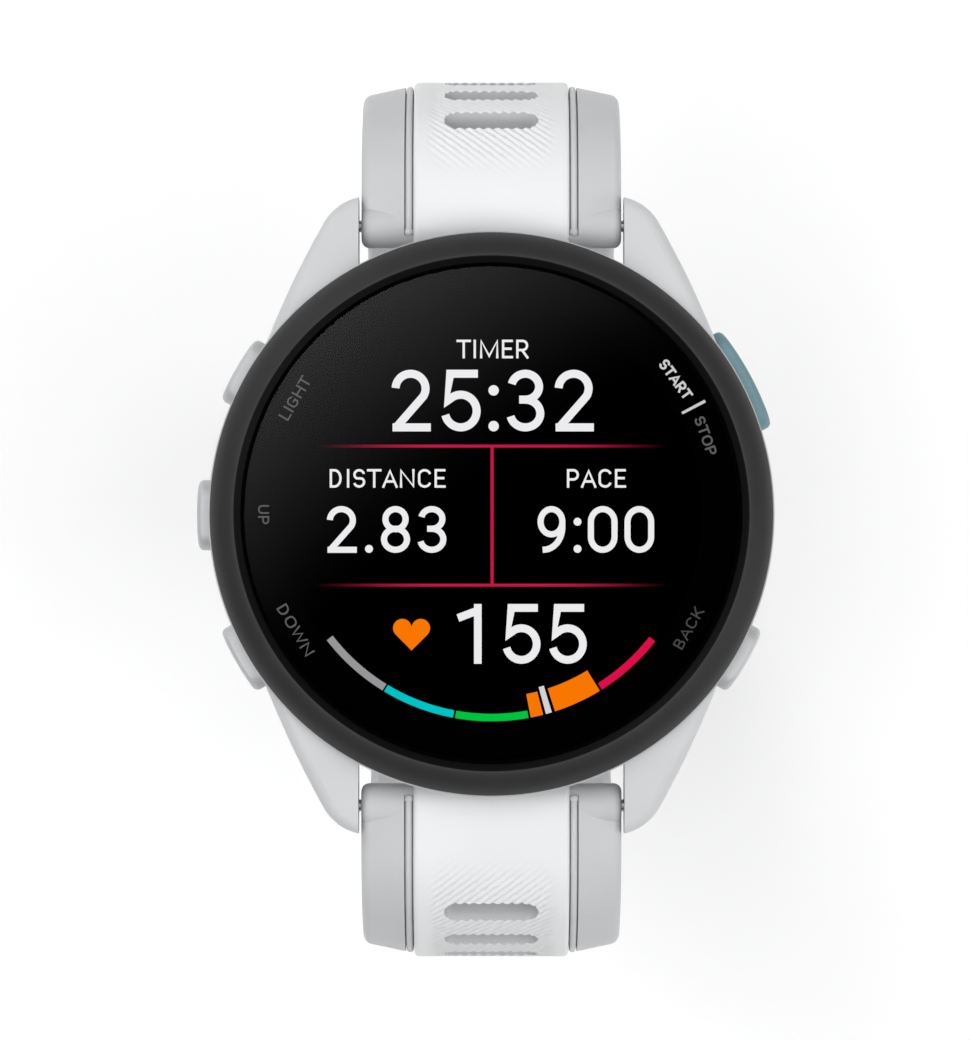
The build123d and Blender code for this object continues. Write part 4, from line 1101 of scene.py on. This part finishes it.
@dataclass
class WatchFace:
    """What the screen shows and the ring printed round it, just under the glass."""

    level: float = 10.262
    sheet: float = 0.012
    ring_outer: float = 18.97
    ring_inner: float = 16.0
    label_radius: float = 17.35
    font: StrokeFont = field(default_factory=StrokeFont)

    def lettering(
        self, name: str, words: str, centre: tuple[float, float], size: tuple[float, float],
        finish: Finishes, turn: float = 0.0, weight: float = 0.13,
    ) -> None:
        """Sets words flat under the glass, scaled to a width and a height.

        Args:
            name: the piece's name.
            words: what to write.
            centre: middle of the words.
            size: their width and height.
            finish: ink or pixels.
            turn: degrees anticlockwise.
            weight: stroke width, as a share of the height.
        """
        drawn = self.font.outlines(words, weight)
        xs = [x for outline in drawn for x, _ in outline]
        middle, scale = (min(xs) + max(xs)) / 2, size[0] / (max(xs) - min(xs))
        c, s = math.cos(math.radians(turn)), math.sin(math.radians(turn))
        placed = []
        for outline in drawn:
            flat = [((x - middle) * scale, (y - 0.5) * size[1]) for x, y in outline]
            placed.append([(centre[0] + x * c - y * s, centre[1] + x * s + y * c) for x, y in flat])
        self.patch(name, placed, finish)

    def patch(self, name: str, outlines: list[Round], finish: Finishes, drop: float = 0.0) -> None:
        """Lays filled outlines flat under the glass, as one piece.

        Args:
            name: the piece's name.
            outlines: closed outlines, anticlockwise.
            finish: ink or pixels.
            drop: how far below the letters it lies.
        """
        mesh = bpy.data.meshes.new(name)
        points, faces = [], []
        for outline in outlines:
            base = len(points)
            points += [(x * MM, y * MM, (self.level - drop) * MM) for x, y in outline]
            faces.append(tuple(range(base, len(points))))
        mesh.from_pydata(points, [], faces)
        mesh.materials.append(finish.material)
        work = bmesh.new()
        work.from_mesh(mesh)
        bmesh.ops.remove_doubles(work, verts=work.verts, dist=1e-7)
        bmesh.ops.triangulate(work, faces=work.faces)
        grown = bmesh.ops.extrude_face_region(work, geom=list(work.faces))
        raised = [e for e in grown["geom"] if isinstance(e, bmesh.types.BMVert)]
        bmesh.ops.translate(work, verts=raised, vec=(0, 0, self.sheet * MM))
        bmesh.ops.recalc_face_normals(work, faces=work.faces)
        work.to_mesh(mesh)
        work.free()
        made = bpy.data.objects.new(name, mesh)
        bpy.context.scene.collection.objects.link(made)
        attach(made, "case")

    @staticmethod
    def arc(start: float, end: float, inner: float, outer: float) -> Round:
        """Outlines a stretch of ring.

        Args:
            start: angle where it starts, in degrees.
            end: angle where it ends.
            inner: inner radius.
            outer: outer radius.

        Returns:
            The outline.
        """
        steps = max(2, round(abs(end - start) / 2))
        angles = [math.radians(start + (end - start) * i / steps) for i in range(steps + 1)]
        out = [(outer * math.cos(a), outer * math.sin(a)) for a in angles]
        back = [(inner * math.cos(a), inner * math.sin(a)) for a in reversed(angles)]
        return out + back

    @staticmethod
    def bar(x0: float, y0: float, x1: float, y1: float) -> Round:
        """Outline of an upright box."""
        return [(x0, y0), (x1, y0), (x1, y1), (x0, y1)]

    @staticmethod
    def heart(x: float, y: float, width: float) -> Round:
        """Outlines a heart: two round lobes whose sides run straight to a point.

        Args:
            x: across the screen.
            y: up the screen.
            width: of both lobes together.

        Returns:
            The outline.
        """
        radius = width / 4
        right = [math.radians(a) for a in range(-45, 181, 9)]
        lobe = [(radius + radius * math.cos(a), radius * math.sin(a)) for a in right]
        left = [(-u, v) for u, v in reversed(lobe)]
        drop = 2.414 * radius
        outline = [(0.0, -drop)] + lobe[:-1] + [(0.0, 0.0)] + left[1:]
        return [(x + u, y + v + drop / 2 - radius / 2) for u, v in outline]

    def build(self) -> None:
        """Makes the printed ring, the figures, the rules, the gauge and the button labels."""
        ring = [self.arc(a, a + 30, self.ring_inner, self.ring_outer) for a in range(0, 360, 30)]
        self.patch("printed_ring", ring, Finishes.INK_BLACK, 0.011)
        for name, words, centre, size in (
            ("timer_word", "TIMER", (0.1, 12.53), (5.52, 1.42)),
            ("timer_figures", "25:32", (0.1, 8.6), (15.4, 4.7)),
            ("distance_word", "DISTANCE", (-7.9, 2.67), (8.83, 1.42)),
            ("distance_figures", "2.83", (-7.98, -1.22), (9.1, 3.56)),
            ("pace_word", "PACE", (8.0, 2.67), (4.5, 1.42)),
            ("pace_figures", "9:00", (7.95, -1.22), (8.88, 3.56)),
            ("pulse_figures", "155", (2.3, -9.17), (9.9, 4.55)),
        ):
            self.lettering(name, words, centre, size, Finishes.WHITE)
        self.patch("screen_rule_upright", [self.bar(-0.07, -5.35, 0.17, 5.02)], Finishes.RED)
        rules = [self.bar(-13.6, y - 0.11, 13.6, y + 0.11) for y in (5.13, -5.46)]
        self.patch("screen_rules", rules, Finishes.FADING_RED)
        self.patch("pulse_heart", [self.heart(-6.08, -9.23, 2.82)], Finishes.ORANGE)
        outer, inner = 15.82, 15.25
        for name, start, end, low, finish in (
            ("gauge_warm_up", 217.6, 238.4, inner, Finishes.GREY),
            ("gauge_easy", 238.9, 259.3, inner, Finishes.CYAN),
            ("gauge_steady", 259.9, 280.3, inner, Finishes.GREEN),
            ("gauge_threshold_low", 280.9, 284.4, 14.0, Finishes.ORANGE),
            ("gauge_threshold_high", 287.8, 301.4, 14.0, Finishes.ORANGE),
            ("gauge_maximum", 302.1, 322.0, inner, Finishes.PINK),
            ("gauge_marker", 285.2, 286.9, 13.7, Finishes.MARKER),
        ):
            self.patch(name, [self.arc(start, end, low, outer)], finish)
        # The button labels are printed ink drawn in glowing finishes: painted light, not lit by the lamps.
        for name, words, angle, turn, size, finish, weight in (
            ("light_label", "LIGHT", 149.5, -90.0, (3.6, 0.86), Finishes.DIM_INK_PAINTED_GLOW, 0.13),
            ("up_label", "UP", 180.3, 90.0, (1.45, 0.84), Finishes.DIM_INK_PAINTED_GLOW, 0.13),
            ("down_label", "DOWN", 210.8, 90.0, (4.3, 0.86), Finishes.DIM_INK_PAINTED_GLOW, 0.13),
            ("start_label", "START", 36.0, -90.0, (3.44, 0.8), Finishes.PALE_INK_PAINTED_GLOW, 0.21),
            ("stop_label", "STOP", 19.9, -90.0, (3.05, 0.8), Finishes.DIM_INK_PAINTED_GLOW, 0.17),
            ("back_label", "BACK", 329.9, 90.0, (3.45, 0.84), Finishes.FAINT_INK_PAINTED_GLOW, 0.13),
        ):
            at = math.radians(angle)
            spot = (self.label_radius * math.cos(at), self.label_radius * math.sin(at))
            self.lettering(name, words, spot, size, finish, angle + turn, weight)
        # The bar beside START is printed ink that glows as painted light too.
        self.patch("start_label_bar", [self.arc(27.4, 28.1, 16.4, 18.4)], Finishes.PALE_INK_PAINTED_GLOW)
        LOG.info("watch face made")


# ================================================================ studio
@dataclass
class Studio:
    """Pale floor, soft lights and the camera over the watch's face."""

    distance: float = 550.0
    view_height: float = 79.1  # of the whole picture, at the bezel
    focus_z: float = 11.0
    aim: tuple[float, float] = (-0.49, -0.51)
    lean: float = 13.0  # how far the camera stands towards 6 o'clock
    floor_drop: float = 0.3
    floor_half: float = 1500.0
    horizon_level: float = 0.16
    dome_level: float = 2.1
    dark_way: tuple[float, float, float] = (0.09, -0.09, 1.0)
    dark_turn: float = 0.148
    edge_turn: float = 0.052

    def build(self) -> None:
        """Makes the floor, the world, the lights and the camera."""
        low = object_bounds()[0][2] - self.floor_drop * MM
        paper = Moulded("studio_paper_white", "fdfdfd", "fcfcfc", 0.9, 2.0, 0.0, 60.0).make()
        turned = ((-1, -1), (1, -1), (1, 1), (-1, 1))
        corners = [(x * self.floor_half, y * self.floor_half, low / MM) for x, y in turned]
        floor = put_mesh("studio_floor", corners, [(0, 1, 2, 3)], paper, False)
        floor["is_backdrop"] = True
        bpy.context.scene.view_settings.view_transform = "Standard"
        world = bpy.data.worlds.new("studio_world")
        bpy.context.scene.world = world
        self.sky(world)
        for name, place, size, power in (
            ("left_softbox", (-0.42, 0.38, 0.95), 0.5, 1.1),
            ("right_softbox", (0.46, 0.3, 0.95), 0.5, 0.4),
            ("near_left_softbox", (-0.4, -0.42, 0.95), 0.5, 1.4),
            ("near_right_softbox", (0.44, -0.38, 0.95), 0.5, 1.45),
            ("low_left_strip", (-0.7, 0.75, 0.42), 0.45, 2.6),
            ("low_right_strip", (0.95, -0.3, 0.42), 0.45, 2.3),
        ):
            self.softbox(name, Vector(place), size, power)
        camera_data = bpy.data.cameras.new("camera")
        camera_data.sensor_width = 36.0
        camera_data.lens = 36.0 * self.distance / self.view_height
        camera_data.clip_start = 0.01
        camera = bpy.data.objects.new("camera", camera_data)
        target = Vector((self.aim[0], self.aim[1], self.focus_z)) * MM
        camera.location = target + Vector((0, -self.lean, self.distance)) * MM
        camera.rotation_euler = (math.atan2(self.lean, self.distance), 0, 0)
        bpy.context.scene.collection.objects.link(camera)
        bpy.context.scene.camera = camera
        LOG.info("studio made")

    def sky(self, world: bpy.types.World) -> None:
        """Fills the world with soft light that darkens overhead, where the glass looks.

        Args:
            world: the world to fill.
        """
        world.use_nodes = True
        tree = world.node_tree
        way = add_node(tree, "ShaderNodeTexCoord").outputs["Generated"]
        height = add_node(tree, "ShaderNodeSeparateXYZ", {"Vector": way}).outputs["Z"]
        dome = add_node(
            tree, "ShaderNodeMapRange",
            {"Value": height, "From Min": 0.76, "From Max": 0.86,
             "To Min": self.horizon_level, "To Max": self.dome_level},
            interpolation_type="SMOOTHSTEP",
        ).outputs["Result"]
        near = add_node(
            tree, "ShaderNodeVectorMath", {0: way, 1: Vector(self.dark_way).normalized()},
            operation="DOT_PRODUCT",
        ).outputs["Value"]
        turned = add_node(tree, "ShaderNodeMath", {0: near}, operation="ARCCOSINE").outputs[0]
        edge = add_node(
            tree, "ShaderNodeMapRange",
            {"Value": turned, "From Min": self.dark_turn, "From Max": self.dark_turn + self.edge_turn},
        ).outputs["Result"]
        soft = add_node(tree, "ShaderNodeMath", {0: edge, 1: 2.0}, operation="POWER").outputs[0]
        level = add_node(tree, "ShaderNodeMath", {0: dome, 1: soft}, operation="MULTIPLY").outputs[0]
        back = tree.nodes["Background"]
        back.inputs["Color"].default_value = (1.0, 1.0, 1.0, 1.0)
        tree.links.new(level, back.inputs["Strength"])

    def softbox(self, name: str, place: Vector, size: float, power: float) -> None:
        """Hangs one square soft light, aimed at the watch.

        Args:
            name: the light's name.
            place: where it hangs, in metres.
            size: its side, in metres.
            power: in watts.
        """
        data = bpy.data.lights.new(name, "AREA")
        data.shape = "SQUARE"
        data.size = size
        data.energy = power
        light = bpy.data.objects.new(name, data)
        light.location = place
        light.rotation_euler = place.to_track_quat("Z", "Y").to_euler()
        bpy.context.scene.collection.objects.link(light)


def main() -> None:
    """Builds the watch's looks round the frame, in order."""
    logging.basicConfig(level=logging.INFO, format="%(name)s: %(message)s")
    for old in list(bpy.data.objects):
        bpy.data.objects.remove(old)
    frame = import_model()
    Studio().build()
    dress_frame(frame)
    buckle_line = StrapLine(1, ((8.0, 57.0), (19.5, 56.0), (38.0, 27.0)))
    tail_line = StrapLine(-1, ((8.0, 57.0), (19.5, 41.0), (90.0, 54.0 - math.degrees(4.0 / 90.0))))
    StrapPanel("buckle_side_ribbed_panel", "buckle_side_strap", "buckle_strap_panel", buckle_line, 5).build()
    StrapPanel("tail_side_ribbed_panel", "tail_side_strap", "tail_strap_panel", tail_line, 20).build()
    GrooveBeads("buckle_side_groove_beads", "buckle_side_strap", buckle_line).build()
    GrooveBeads("tail_side_groove_beads", "tail_side_strap", tail_line).build()
    BezelRing().build()
    CoverGlass().build()
    WatchFace().build()


if __name__ == "__main__":
    main()
